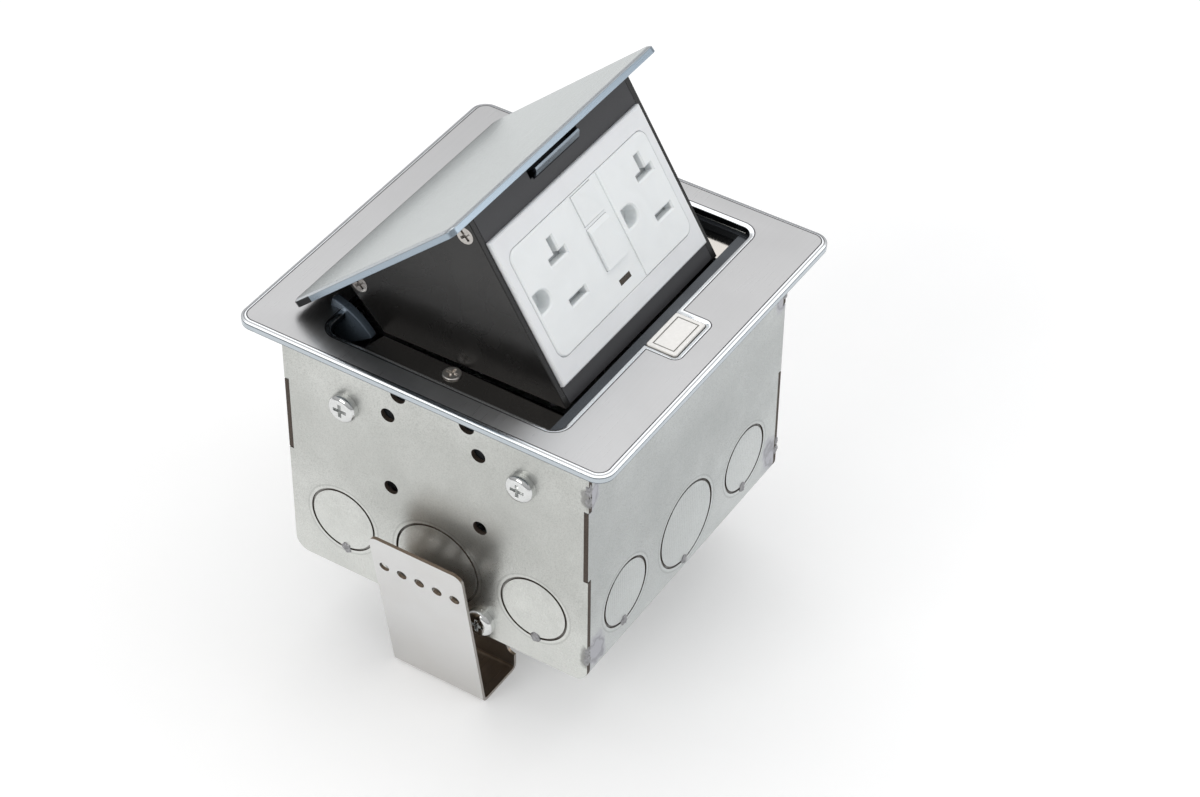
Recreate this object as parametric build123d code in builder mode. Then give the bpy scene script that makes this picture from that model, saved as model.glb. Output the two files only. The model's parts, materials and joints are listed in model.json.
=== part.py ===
"""Countertop pop-up outlet box, standing on its two spring clips with the outlet popped up.

X runs along the hinge, -Y is the front with the release button, +Z is up.
Heights in the sizes below are measured from the top face of the flange, so most are negative.
The pop-up is drawn as it lies when shut, and its planes swing it up about the hinge.
"""
import os
from math import cos, hypot, radians, sin

from build123d import *

os.makedirs("parts", exist_ok=True)

# Flange plate that covers the hole in the worktop
flange_overhang = 7.875
flange_end_overhang = 9.825
flange_thickness = 2.4
flange_corner = 5.0
bevel_width = 1.4
bevel_drop = 0.5
inner_bevel_width = 1.25
inner_bevel_drop = 0.4
opening_border = 1.45
opening_front_border = 10.6
opening_rear_border = 14.3
opening_corner = 4.0

# Release button and its pocket in the front edge of the opening
button_width = 16.2
button_depth = 9.8
button_travel = 2.0
button_gap = 0.2
button_cap = 2.3
button_border = 1.5
button_groove = 0.25
button_corner = 0.8
button_bevel = 0.25
stem_width = 8.0
stem_depth = 3.6
stem_length = 15.0
stem_gap = 0.2
pocket_corner = 1.2

# Galvanised case: one folded wrap and two end plates
case_length = 101.0
case_depth = 88.8
sheet = 1.5
fold_radius = 4.5
tab_top = -23.0
tab_bottom = -49.3
tab_gap = 0.35
knockout_level = -69.0
small_knockout = 22.2
large_knockout = 28.2
knockout_pitch = 32.7
knockout_groove = 0.7
knockout_score = 0.6
knockout_bridge = 3.2

# Holes and screws of the end plates
end_screw_y = 29.4
end_screw_z = -23.3
low_screw_y = 15.2
low_screw_z = -83.0
hole_y = 15.0
upper_hole_z = -19.9
lower_hole_z = -47.1
end_hole = 4.6
notch_y = 11.3
notch_width = 5.0
notch_bottom = -13.6
pan_head = 9.0
pan_head_height = 3.0
pan_shank = 4.0
pan_screw_length = 7.0
cross_width = 1.1
cross_depth = 1.3
cross_reach = 4.4
small_cross_width = 0.85
small_cross_reach = 3.6
small_cross_depth = 0.9
crown_share = 0.55

# Spring clips under the two ends
clip_drop = 27.7
clip_sheet = 1.0
clip_width = 31.6
clip_neck = 26.4
clip_neck_height = 9.0
clip_case_gap = 0.55
clip_span = 16.0
clip_spread = 9.8
clip_tip_z = -57.5
clip_fold = 1.6
clip_foot = 13.0
clip_corner = 3.0
clip_hole = 3.3
clip_hole_pitch = 6.0
clip_hole_count = 5
clip_hole_drop = 12.0
clip_screw_y = 7.5
clip_screw_head = 7.0

# Frame inside the top of the case, and the two ledges that it carries
frame_gap = 0.25
frame_wall = 1.5
frame_depth = 26.0
front_bar_z = -2.6
front_bar_overlap = 3.6
front_bar_sheet = 1.0
ledge_z = -5.0
ledge_sheet = 1.2
ledge_gap = 0.5
ledge_rear_border = 24.0
ledge_front_gap = 0.3
ledge_screw_inset = 3.2
ledge_screw_head = 5.6
ledge_seat = 6.0
ledge_seat_length = 9.6
ledge_corner = 1.5
ledge_boss = 5.0
ledge_screw_length = 7.0
ledge_screw_rise = 0.6
ledge_screw_round = 0.45
ledge_shank = 3.0
rail_width = 7.0
rail_sheet = 1.5
well_gap = 0.6
guide_width = 13.0
guide_wall = 4.6
guide_depth = 12.0
window_top = -10.0

# Hinge of the pop-up
swing = 42.3
hinge_border = 5.5
hinge_z = -17.8
pin_diameter = 4.0
pin_fit = 0.05
pin_reach = 15.8
lug_margin = 0.9
lug_sheet = 3.6
lug_reach = 6.5
lug_height = 12.0
arm_sheet = 2.4
arm_width = 7.2
arm_gap = 0.3
arm_knee_y = 16.0
arm_knee_z = -27.0
arm_top_z = -7.6
arm_knee_radius = 6.0
spring_wire = 0.9
spring_gap = 0.25
spring_turns = 7
spring_leg = 14.0
turn_overlap = 0.52
leg_share = 0.8

# Lid and the sheet housing that hangs from it, as they lie when shut
lid_gap = 1.2
lid_front_gap = 0.5
lid_rear_gap = 2.8
lid_thickness = 2.3
lid_corner = 2.5
lid_bevel = 1.0
lid_bevel_drop = 0.5
housing_fit = 0.1
ledge_room = 13.55
side_sheet = 2.0
rear_overhang = 12.0
housing_tip_z = -60.9
housing_low_rear = -21.3
bracket_sheet = 1.5
bracket_setback = 15.4
bracket_ear = 12.0
side_screw_z = -5.9
front_screw_setback = 9.0
rear_screw_inset = 3.6
side_screw_head = 5.2
side_screw_shank = 2.8
screw_length = 9.0

# Face of the pop-up
face_lean = 11.0
face_setback = 8.8
face_z = -33.1
face_width = 67.0
face_height = 33.6
face_corner = 3.3
face_edge = 0.4
face_gap = 0.15
strip_left = -5.0
strip_right = 9.2
strip_depth = 0.35
surround_border = 3.3
surround_height = 45.4
surround_rise = -0.2
surround_setback = 0.4
surround_thickness = 3.0
rail_setback = 1.7
rail_depth = 7.0
rail_low = 5.3
rail_high = 36.0
fit_gap = 0.1
recess_half = 12.0
recess_low = 27.4
recess_depth = 5.0

# Socket outlets
outlet_inset = 11.7
outlet_shift = -1.7
blade_x = 6.2
blade_spacing = 12.7
slot_length = 7.4
slot_width = 2.0
tee_arm = 4.8
slot_chamfer = 0.5
ground_x = -6.1
ground_width = 5.8
ground_height = 5.4
body_border = 0.5
body_height = 38.0
body_depth = 25.0
body_corner = 3.0
terminal_inset = 16.0
terminal_depth = 6.0
terminal_head = 7.0
terminal_sink = 2.2
terminal_pocket = 9.0
terminal_height = 2.8
terminal_length = 4.0
shutter_depth = 3.2
shutter_thickness = 1.4
shutter_travel = 2.4
shutter_clearance = 0.15
shutter_width = 9.0
shutter_height = 20.0
shutter_room = 1.8
strap_sheet = 1.3
strap_border = 1.5
strap_height = 54.4
strap_notch_half = 14.0
strap_notch_top = 24.8
strap_screw_inset = 8.5
strap_screw_s = 24.6
strap_screw_head = 5.0
strap_screw_height = 2.0
strap_screw_length = 5.0

# Test and reset buttons and the indicator window
press_left = -3.5
press_right = 6.0
reset_top = 16.2
reset_bottom = 6.8
test_top = 5.8
test_bottom = -7.3
press_gap = 0.15
press_depth = 5.0
press_step = 0.6
press_sink = 0.1
press_slope = 1.3
press_drop = 0.9
press_room = 1.0
window_sink = 0.35
window_depth = 2.0
window_x = 1.4
window_y = -12.6
window_width = 5.2
window_height = 1.7

# Latch tongue in the top rail
tongue_half = 10.6
tongue_top = -3.9
tongue_sheet = 2.3
tongue_reach = 2.0
tongue_slope = 1.5
tongue_nose = 1.5
tongue_length = 8.5
tongue_gap = 0.3

# Across: the outlet sets the housing, the housing sets the case, and the case sets flange and clips
surround_width = face_width + 2 * surround_border
housing_half = surround_width / 2 + housing_fit + side_sheet
case_width = 2 * (housing_half + ledge_room)
ledge_edge = housing_half + ledge_gap
flange_width = case_width + 2 * flange_overhang
flange_length = case_length + 2 * flange_end_overhang
opening_width = case_width - 2 * opening_border
lid_width = opening_width - 2 * lid_gap
clip_outer_x = case_width / 2 + clip_case_gap
clip_inner_x = clip_outer_x - clip_span
clip_tip_x = clip_outer_x + clip_spread
outlet_pitch = face_width - 2 * outlet_inset
body_width = face_width + 2 * body_border
strap_width = face_width + 2 * strap_border
strap_screw_x = face_width / 2 - strap_screw_inset
terminal_pitch = body_width - 2 * terminal_inset
lug_outer_x = housing_half + lug_margin
pin_inner_x = lug_outer_x - pin_reach

# Along: the case sets the opening and the hinge, and these set the lid, the housing and the button
opening_front = opening_front_border - case_length / 2
opening_rear = case_length / 2 - opening_rear_border
hinge_y = case_length / 2 - hinge_border
lug_front = hinge_y - lug_reach
lid_front = opening_front + lid_front_gap
lid_rear = opening_rear - lid_rear_gap
housing_rear = lid_rear - rear_overhang
rear_screw_y = housing_rear - rear_screw_inset
front_screw_y = lid_front + front_screw_setback
bracket_front = lid_front + bracket_setback
face_y = lid_front + face_setback
front_bar_edge = lid_front + front_bar_overlap
ledge_rear = case_length / 2 - ledge_rear_border

# Other values that follow from the sizes above
flange_height = case_depth + clip_drop
inner_half_x = case_width / 2 - sheet
inner_half_y = case_length / 2 - sheet
press_mid = (press_left + press_right) / 2
press_width = press_right - press_left
face_thickness = rail_setback + rail_depth
spring_radius = pin_diameter / 2 + spring_gap + spring_wire / 2
opening_mid = (opening_front + opening_rear) / 2
opening_depth = opening_rear - opening_front
button_rear = opening_front - button_gap / 2
button_mid = button_rear - button_depth / 2
guide_rear = button_mid + stem_depth / 2 + guide_wall
pocket_front = button_rear - button_depth - button_gap
ledge_screw_x = ledge_edge + ledge_screw_inset
frame_half_x = inner_half_x - frame_gap
frame_half_y = inner_half_y - frame_gap
housing_inner = housing_half - side_sheet
face_pitch = swing - face_lean


def level(z):
    """Horizontal plane at a height measured from the flange's top face."""
    return Plane.XY.offset(flange_height + z)


def side_level(x):
    """Upright plane across X, drawn in Y and in height from the flange's top face."""
    return Plane(origin=(x, 0, flange_height), x_dir=(0, 1, 0), z_dir=(1, 0, 0))


def front_level(y):
    """Upright plane across Y that faces the front, drawn in X and in height."""
    return Plane(origin=(0, y, flange_height), x_dir=(1, 0, 0), z_dir=(0, -1, 0))


def swung(y, z):
    """Place in Y and height, with the outlet up, of a point drawn as it lies when shut."""
    turn = radians(swing)
    dy, dz = y - hinge_y, z - hinge_z
    return hinge_y + dy * cos(turn) + dz * sin(turn), hinge_z - dy * sin(turn) + dz * cos(turn)


def lid_level(z):
    """Plane parallel to the lid at a shut height, drawn in shut X and Y."""
    y_open, z_open = swung(0, z)
    normal = (0, sin(radians(swing)), cos(radians(swing)))
    return Plane(origin=(0, y_open, flange_height + z_open), x_dir=(1, 0, 0), z_dir=normal)


def lid_side(x):
    """Plane across X that swings with the lid, drawn in shut Y and shut height."""
    y_open, z_open = swung(0, 0)
    along = (0, cos(radians(swing)), -sin(radians(swing)))
    return Plane(origin=(x, y_open, flange_height + z_open), x_dir=along, z_dir=(1, 0, 0))


def face_level(depth):
    """Plane parallel to the face of the outlet, this far out of it."""
    y_open, z_open = swung(face_y, face_z)
    normal = (0, -cos(radians(face_pitch)), sin(radians(face_pitch)))
    start = Plane(origin=(0, y_open, flange_height + z_open), x_dir=(1, 0, 0), z_dir=normal)
    return start.offset(depth)


def face_line(setback, height):
    """Shut Y of the face, set back by some distance, at a shut height."""
    lean = radians(face_lean)
    return face_y + setback / cos(lean) - (height - face_z) * sin(lean) / cos(lean)


def pan_screw(place, head, height, shank, length):
    """Pan-head screw whose head sits on a plane and whose shank goes through it."""
    with BuildPart() as screw:
        with BuildSketch(place):
            Circle(head / 2)
        extrude(amount=height)
        crown = screw.faces().sort_by(Axis(place.origin, place.z_dir))[-1]
        fillet(crown.edges(), height * crown_share)
        with BuildSketch(place):
            Circle(shank / 2)
        extrude(amount=-length)
        with BuildSketch(place.offset(height)):
            Rectangle(cross_width, cross_reach)
            Rectangle(cross_reach, cross_width)
        extrude(amount=-cross_depth, mode=Mode.SUBTRACT)
    return screw.part


def flat_screw(place, head, shank, length, crossed):
    """Countersunk screw whose head lies flush with a plane, or its plain shape for a cut."""
    neck = place.offset(-(head - shank) / 2)
    with BuildPart() as screw:
        with BuildSketch(place):
            Circle(head / 2)
        with BuildSketch(neck):
            Circle(shank / 2)
        loft()
        with BuildSketch(neck):
            Circle(shank / 2)
        extrude(amount=-length + (head - shank) / 2)
        if crossed:
            with BuildSketch(place):
                Rectangle(small_cross_width, small_cross_reach)
                Rectangle(small_cross_reach, small_cross_width)
            extrude(amount=-small_cross_depth, mode=Mode.SUBTRACT)
    return screw.part


# Flange plate
with BuildPart() as flange_plate:
    with BuildSketch(level(-flange_thickness)):
        RectangleRounded(flange_width, flange_length, flange_corner)
        with Locations((0, opening_mid)):
            RectangleRounded(opening_width, opening_depth, opening_corner, mode=Mode.SUBTRACT)
        pocket_end = opening_front + opening_corner
        with Locations((0, (pocket_front + pocket_end) / 2)):
            RectangleRounded(button_width + 2 * button_gap, pocket_end - pocket_front, pocket_corner,
                             mode=Mode.SUBTRACT)
    extrude(amount=flange_thickness)
    top_face = flange_plate.faces().sort_by(Axis.Z)[-1]
    chamfer(top_face.outer_wire().edges(), bevel_width, bevel_drop, reference=top_face)
    top_face = flange_plate.faces().sort_by(Axis.Z)[-1]
    chamfer(top_face.inner_wires()[0].edges(), inner_bevel_width, inner_bevel_drop, reference=top_face)
flange_plate.part.label = "flange_plate"
export_step(flange_plate.part, "parts/flange_plate.step")


def knockout_row(wall):
    """Scores for three knockouts side by side on one wall, each with a bridge left at its foot."""
    sizes = ((-knockout_pitch, small_knockout), (0, large_knockout), (knockout_pitch, small_knockout))
    with BuildPart() as scores:
        with BuildSketch(wall):
            for place, diameter in sizes:
                with Locations((place, knockout_level)):
                    Circle(diameter / 2)
                    Circle(diameter / 2 - knockout_groove, mode=Mode.SUBTRACT)
                with Locations((place, knockout_level - diameter / 2)):
                    Rectangle(knockout_bridge, knockout_groove * 4, mode=Mode.SUBTRACT)
        extrude(amount=-knockout_score)
    return scores.part


# Case wrap: front, bottom and back folded from one sheet, with tabs into the end plates
with BuildPart() as case_wrap:
    with BuildSketch(side_level(-inner_half_x)):
        with BuildLine():
            half, low = case_length / 2 - sheet / 2, sheet / 2 - case_depth
            corners = ((-half, -flange_thickness), (-half, low), (half, low), (half, -flange_thickness))
            FilletPolyline(*corners, radius=fold_radius - sheet / 2)
        trace(line_width=sheet)
    extrude(amount=2 * inner_half_x)
    tab_height = tab_top - tab_bottom - 2 * tab_gap
    with BuildSketch(level(tab_bottom + tab_gap)):
        with GridLocations(case_width - sheet, case_length - sheet, 2, 2):
            Rectangle(sheet, sheet)
    extrude(amount=tab_height)
    with BuildSketch(level(-case_depth)):
        with GridLocations(2 * clip_inner_x - clip_foot, 2 * clip_screw_y, 2, 2):
            Circle(pan_shank / 2)
    extrude(amount=sheet, mode=Mode.SUBTRACT)
    with BuildSketch(level(-flange_thickness)):
        with Locations((0, -case_length / 2)):
            Rectangle(button_width + 2 * well_gap, 4 * sheet)
    extrude(amount=flange_thickness - button_cap - button_travel - well_gap, mode=Mode.SUBTRACT)
    back_wall = Plane(origin=(0, case_length / 2, flange_height), x_dir=(-1, 0, 0), z_dir=(0, 1, 0))
    add(knockout_row(front_level(-case_length / 2)), mode=Mode.SUBTRACT)
    add(knockout_row(back_wall), mode=Mode.SUBTRACT)
case_wrap.part.label = "case_wrap"
export_step(case_wrap.part, "parts/case_wrap.step")


def end_face(outside, y, z):
    """Plane on the outside of an end plate, facing away from the case."""
    place = (outside * case_width / 2, y, flange_height + z)
    return Plane(origin=place, x_dir=(0, outside, 0), z_dir=(outside, 0, 0))


def end_plate(outside):
    """Flat end of the case with its screw holes, keyhole notches, tab notches and knockouts."""
    low, high = -case_depth, -flange_thickness
    with BuildPart() as plate:
        with BuildSketch(side_level(outside * inner_half_x)):
            with Locations((0, (low + high) / 2)):
                Rectangle(case_length, high - low)
            fillet(vertices().group_by(Axis.Y)[0], fold_radius)
            with Locations((0, (tab_top + tab_bottom) / 2)):
                with GridLocations(case_length - sheet, 1, 2, 1):
                    Rectangle(sheet, tab_top - tab_bottom, mode=Mode.SUBTRACT)
            for y, z in ((end_screw_y, end_screw_z), (low_screw_y, low_screw_z)):
                with Locations((-y, z), (y, z)):
                    Circle(pan_shank / 2, mode=Mode.SUBTRACT)
            with Locations((0, (upper_hole_z + lower_hole_z) / 2)):
                with GridLocations(2 * hole_y, upper_hole_z - lower_hole_z, 2, 2):
                    Circle(end_hole / 2, mode=Mode.SUBTRACT)
            for y in (-notch_y, notch_y):
                with Locations((y, notch_bottom + notch_width / 2)):
                    Circle(notch_width / 2, mode=Mode.SUBTRACT)
                with Locations((y, notch_bottom / 2 + notch_width / 4)):
                    Rectangle(notch_width, -notch_bottom - notch_width / 2, mode=Mode.SUBTRACT)
        extrude(amount=sheet * outside)
        add(knockout_row(end_face(outside, 0, 0)), mode=Mode.SUBTRACT)
    return plate.part


with BuildPart() as left_end_plate:
    add(end_plate(-1))
left_end_plate.part.label = "left_end_plate"
export_step(left_end_plate.part, "parts/left_end_plate.step")

with BuildPart() as right_end_plate:
    add(end_plate(1))
right_end_plate.part.label = "right_end_plate"
export_step(right_end_plate.part, "parts/right_end_plate.step")


# Screws that hold the inner frame, and the lower pair at each end
with BuildPart() as case_screws:
    for outside in (-1, 1):
        for y in (-end_screw_y, end_screw_y):
            place = end_face(outside, y, end_screw_z)
            add(pan_screw(place, pan_head, pan_head_height, pan_shank, pan_screw_length))
case_screws.part.label = "case_screws"
export_step(case_screws.part, "parts/case_screws.step")

with BuildPart() as lower_screws:
    for outside in (-1, 1):
        for y in (-low_screw_y, low_screw_y):
            place = end_face(outside, y, low_screw_z)
            add(pan_screw(place, pan_head, pan_head_height, pan_shank, pan_screw_length))
lower_screws.part.label = "lower_screws"
export_step(lower_screws.part, "parts/lower_screws.step")


def spring_clip(outside):
    """Folded spring strip: foot under the case, inner leg, web and the leaf that leans outwards."""
    foot_z = -case_depth - clip_sheet / 2
    web_z = -flange_height + clip_sheet / 2
    inner_x, outer_x = outside * clip_inner_x, outside * clip_outer_x
    rise, lean = clip_tip_z - web_z, clip_tip_x - clip_outer_x
    with BuildPart() as clip:
        with BuildSketch(front_level(0)):
            with BuildLine():
                FilletPolyline((outside * (clip_inner_x - clip_foot), foot_z), (inner_x, foot_z),
                               (inner_x, web_z), (outer_x, web_z), (outside * clip_tip_x, clip_tip_z),
                               radius=clip_fold)
            trace(line_width=clip_sheet)
        extrude(amount=clip_width / 2, both=True)
        neck_low = web_z + clip_neck_height
        with BuildSketch(side_level(inner_x - outside * (clip_foot + clip_sheet))):
            with Locations((0, neck_low / 2 - clip_sheet)):
                Rectangle(2 * clip_width, -neck_low)
                Rectangle(clip_neck, -neck_low, mode=Mode.SUBTRACT)
            for y in (-clip_width / 2, clip_width / 2):
                with Locations((y, neck_low - clip_sheet)):
                    Circle((clip_width - clip_neck) / 2)
        extrude(amount=outside * (clip_foot + 2 * clip_sheet), mode=Mode.SUBTRACT)
        tip = edges().filter_by(lambda edge: round(edge.length - clip_sheet, 2) == 0).group_by(Axis.Z)[-1]
        fillet(tip, clip_corner)
        share = 1 - clip_hole_drop / hypot(rise, lean)
        middle = (outside * (clip_outer_x + lean * share), 0, flange_height + web_z + rise * share)
        with BuildSketch(Plane(origin=middle, x_dir=(0, 1, 0), z_dir=(outside * rise, 0, -lean))):
            with GridLocations(clip_hole_pitch, 1, clip_hole_count, 1):
                Circle(clip_hole / 2)
        extrude(amount=2 * clip_sheet, both=True, mode=Mode.SUBTRACT)
        with BuildSketch(level(foot_z)):
            with Locations((outside * (clip_inner_x - clip_foot / 2), 0)):
                with GridLocations(1, 2 * clip_screw_y, 1, 2):
                    Circle(pan_shank / 2)
        extrude(amount=2 * clip_sheet, both=True, mode=Mode.SUBTRACT)
    return clip.part


with BuildPart() as left_spring_clip:
    add(spring_clip(-1))
left_spring_clip.part.label = "left_spring_clip"
export_step(left_spring_clip.part, "parts/left_spring_clip.step")

with BuildPart() as right_spring_clip:
    add(spring_clip(1))
right_spring_clip.part.label = "right_spring_clip"
export_step(right_spring_clip.part, "parts/right_spring_clip.step")


# Screws that hold the clips under the case
with BuildPart() as clip_screws:
    for outside in (-1, 1):
        for y in (-clip_screw_y, clip_screw_y):
            spot = (outside * (clip_inner_x - clip_foot / 2), y, flange_height - case_depth - clip_sheet)
            place = Plane(origin=spot, x_dir=(1, 0, 0), z_dir=(0, 0, -1))
            add(pan_screw(place, clip_screw_head, pan_head_height, pan_shank, pan_screw_length))
clip_screws.part.label = "clip_screws"
export_step(clip_screws.part, "parts/clip_screws.step")

# Inner frame: a ring inside the case with the front bar, the rails of the ledges and the hinge lugs
with BuildPart() as inner_frame:
    with BuildSketch(level(-flange_thickness)):
        Rectangle(2 * frame_half_x, 2 * frame_half_y)
        Rectangle(2 * (frame_half_x - frame_wall), 2 * (frame_half_y - frame_wall), mode=Mode.SUBTRACT)
    extrude(amount=-frame_depth)
    with BuildSketch(level(front_bar_z)):
        with Locations((0, (front_bar_edge - frame_half_y) / 2)):
            Rectangle(2 * frame_half_x, frame_half_y + front_bar_edge)
    extrude(amount=-front_bar_sheet)
    with BuildSketch(level(ledge_z - ledge_sheet)):
        rail_length = ledge_rear - front_bar_edge - ledge_front_gap
        with Locations((0, (ledge_rear + front_bar_edge + ledge_front_gap) / 2)):
            with GridLocations(2 * frame_half_x - rail_width, 1, 2, 1):
                Rectangle(rail_width, rail_length)
    extrude(amount=-rail_sheet)
    with BuildSketch(level(ledge_z - ledge_sheet)):
        with GridLocations(2 * ledge_screw_x, 1, 2, 1):
            Rectangle(ledge_seat, ledge_seat_length)
    extrude(amount=-ledge_boss)
    with BuildSketch(level(-flange_thickness)):
        with Locations((0, (button_rear + button_gap - frame_half_y) / 2)):
            Rectangle(button_width + 2 * well_gap, frame_half_y + button_rear + button_gap)
    extrude(amount=-(button_cap + button_travel + well_gap), mode=Mode.SUBTRACT)
    with BuildSketch(level(-flange_thickness - button_cap - button_travel - well_gap + frame_wall)):
        with Locations((0, (guide_rear - frame_half_y) / 2)):
            Rectangle(guide_width, frame_half_y + guide_rear)
            with Locations((0, button_mid - (guide_rear - frame_half_y) / 2)):
                Rectangle(stem_width + 2 * stem_gap, stem_depth + 2 * stem_gap, mode=Mode.SUBTRACT)
    extrude(amount=-guide_depth)
    with BuildSketch(level(window_top)):
        with Locations((0, frame_half_y)):
            Rectangle(2 * (lug_outer_x - lug_sheet - arm_gap), 4 * frame_wall)
    extrude(amount=-frame_depth, mode=Mode.SUBTRACT)
    for outside in (-1, 1):
        with BuildSketch(side_level(outside * (lug_outer_x - lug_sheet))):
            with Locations(((lug_front + frame_half_y) / 2, hinge_z)):
                Rectangle(frame_half_y - lug_front, lug_height)
        extrude(amount=outside * (frame_half_x - lug_outer_x + lug_sheet))
        with BuildSketch(side_level(outside * lug_outer_x)):
            with Locations(((lug_front + frame_half_y) / 2, hinge_z + frame_wall)):
                Rectangle(frame_half_y - lug_front - 2 * frame_wall, lug_height)
        extrude(amount=outside * (frame_half_x - frame_wall - lug_outer_x), mode=Mode.SUBTRACT)
        with BuildSketch(side_level(outside * (lug_outer_x - lug_sheet))):
            with Locations((hinge_y, hinge_z)):
                Circle(pin_diameter / 2)
        extrude(amount=outside * lug_sheet, mode=Mode.SUBTRACT)
        for y in (-end_screw_y, end_screw_y):
            with BuildSketch(side_level(outside * frame_half_x)):
                with Locations((y, end_screw_z)):
                    Circle(pan_shank / 2)
            extrude(amount=-outside * frame_wall, mode=Mode.SUBTRACT)
        with BuildSketch(level(ledge_z)):
            with Locations((outside * ledge_screw_x, 0)):
                Circle(ledge_shank / 2)
        extrude(amount=-(ledge_sheet + ledge_boss), mode=Mode.SUBTRACT)
inner_frame.part.label = "inner_frame"
export_step(inner_frame.part, "parts/inner_frame.step")


def ledge(outside):
    """Bright plate beside the pop-up, screwed down on the frame's rail."""
    width = frame_half_x - frame_wall - frame_gap - ledge_edge
    front = front_bar_edge + ledge_front_gap
    with BuildPart() as plate:
        with BuildSketch(level(ledge_z - ledge_sheet)):
            with Locations((outside * (ledge_edge + width / 2), (ledge_rear + front) / 2)):
                Rectangle(width, ledge_rear - front)
            fillet(vertices().group_by(Axis.Y)[-1], ledge_corner)
        extrude(amount=ledge_sheet)
        sink = ledge_screw_head / 2
        with BuildSketch(level(ledge_z)):
            with Locations((outside * ledge_screw_x, 0)):
                Circle(sink)
        with BuildSketch(level(ledge_z - ledge_sheet)):
            with Locations((outside * ledge_screw_x, 0)):
                Circle(ledge_shank / 2)
        loft(mode=Mode.SUBTRACT)
    return plate.part


def oval_screw(place):
    """Countersunk screw of a ledge, with a low rounded head."""
    with BuildPart() as screw:
        with BuildSketch(place):
            Circle(ledge_screw_head / 2)
        with BuildSketch(place.offset(-ledge_sheet)):
            Circle(ledge_shank / 2)
        loft()
        with BuildSketch(place.offset(-ledge_sheet)):
            Circle(ledge_shank / 2)
        extrude(amount=-ledge_screw_length)
        with BuildSketch(place):
            Circle(ledge_screw_head / 2)
        extrude(amount=ledge_screw_rise)
        fillet(screw.edges().group_by(Axis.Z)[-1], ledge_screw_round)
        with BuildSketch(place.offset(ledge_screw_rise)):
            Rectangle(small_cross_width, small_cross_reach)
            Rectangle(small_cross_reach, small_cross_width)
        extrude(amount=-small_cross_depth, mode=Mode.SUBTRACT)
    return screw.part


with BuildPart() as left_ledge:
    add(ledge(-1))
left_ledge.part.label = "left_ledge"
export_step(left_ledge.part, "parts/left_ledge.step")

with BuildPart() as right_ledge:
    add(ledge(1))
right_ledge.part.label = "right_ledge"
export_step(right_ledge.part, "parts/right_ledge.step")

with BuildPart() as ledge_screws:
    for outside in (-1, 1):
        place = Plane(origin=(outside * ledge_screw_x, 0, flange_height + ledge_z))
        add(oval_screw(place))
ledge_screws.part.label = "ledge_screws"
export_step(ledge_screws.part, "parts/ledge_screws.step")

# Hinge pins, pressed into the lugs of the frame
with BuildPart() as hinge_pins:
    for outside in (-1, 1):
        with BuildSketch(side_level(outside * pin_inner_x)):
            with Locations((hinge_y, hinge_z)):
                Circle(pin_diameter / 2)
        extrude(amount=outside * (lug_outer_x - pin_inner_x))
        with BuildSketch(side_level(outside * pin_inner_x)):
            with Locations((hinge_y, hinge_z)):
                Circle(pin_diameter / 2 + spring_wire)
        extrude(amount=-outside * spring_wire)
hinge_pins.part.label = "hinge_pins"
export_step(hinge_pins.part, "parts/hinge_pins.step")


def hinge_arm(outside):
    """Gooseneck arm that passes under the rear of the flange to the hinge pin."""
    inner_x = outside * (housing_inner - bracket_sheet - arm_sheet)
    with BuildPart() as arm:
        with BuildSketch(lid_side(inner_x)):
            with BuildLine():
                FilletPolyline((arm_knee_y, arm_top_z), (arm_knee_y, arm_knee_z), (hinge_y, hinge_z),
                               radius=arm_knee_radius)
            trace(line_width=arm_width)
            with Locations((arm_knee_y, arm_top_z), (hinge_y, hinge_z)):
                Circle(arm_width / 2)
            with Locations((hinge_y, hinge_z)):
                Circle(pin_diameter / 2 + pin_fit, mode=Mode.SUBTRACT)
            with Locations((rear_screw_y, side_screw_z)):
                Circle(side_screw_shank / 2, mode=Mode.SUBTRACT)
        extrude(amount=outside * arm_sheet)
    return arm.part


with BuildPart() as left_hinge_arm:
    add(hinge_arm(-1))
left_hinge_arm.part.label = "left_hinge_arm"
export_step(left_hinge_arm.part, "parts/left_hinge_arm.step")

with BuildPart() as right_hinge_arm:
    add(hinge_arm(1))
right_hinge_arm.part.label = "right_hinge_arm"
export_step(right_hinge_arm.part, "parts/right_hinge_arm.step")

# Torsion springs that lift the pop-up, wound round the pins beside the arms
with BuildPart() as lift_springs:
    for outside in (-1, 1):
        arm_inner = housing_inner - bracket_sheet - arm_sheet
        for turn in range(spring_turns):
            x = outside * (arm_inner - spring_wire * (turn + 1))
            coil = Plane(origin=(x, hinge_y, flange_height + hinge_z), x_dir=(0, 1, 0), z_dir=(1, 0, 0))
            add(Solid.make_torus(spring_radius, spring_wire * turn_overlap, coil))
        with BuildSketch(lid_side(outside * (arm_inner - spring_wire))):
            with Locations((hinge_y - spring_leg / 2, hinge_z - spring_radius)):
                Rectangle(spring_leg, spring_wire * leg_share)
        extrude(amount=spring_wire * leg_share / 2, both=True)
lift_springs.part.label = "lift_springs"
export_step(lift_springs.part, "parts/lift_springs.step")

# Lid
with BuildPart() as lid_plate:
    with BuildSketch(lid_level(-lid_thickness)):
        with Locations((0, (lid_front + lid_rear) / 2)):
            RectangleRounded(lid_width, lid_rear - lid_front, lid_corner)
    extrude(amount=lid_thickness)
    lid_top = lid_plate.faces().sort_by(Axis((0, 0, 0), lid_level(0).z_dir))[-1]
    chamfer(lid_top.edges(), lid_bevel, lid_bevel_drop, reference=lid_top)
lid_plate.part.label = "lid_plate"
export_step(lid_plate.part, "parts/lid_plate.step")

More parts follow.
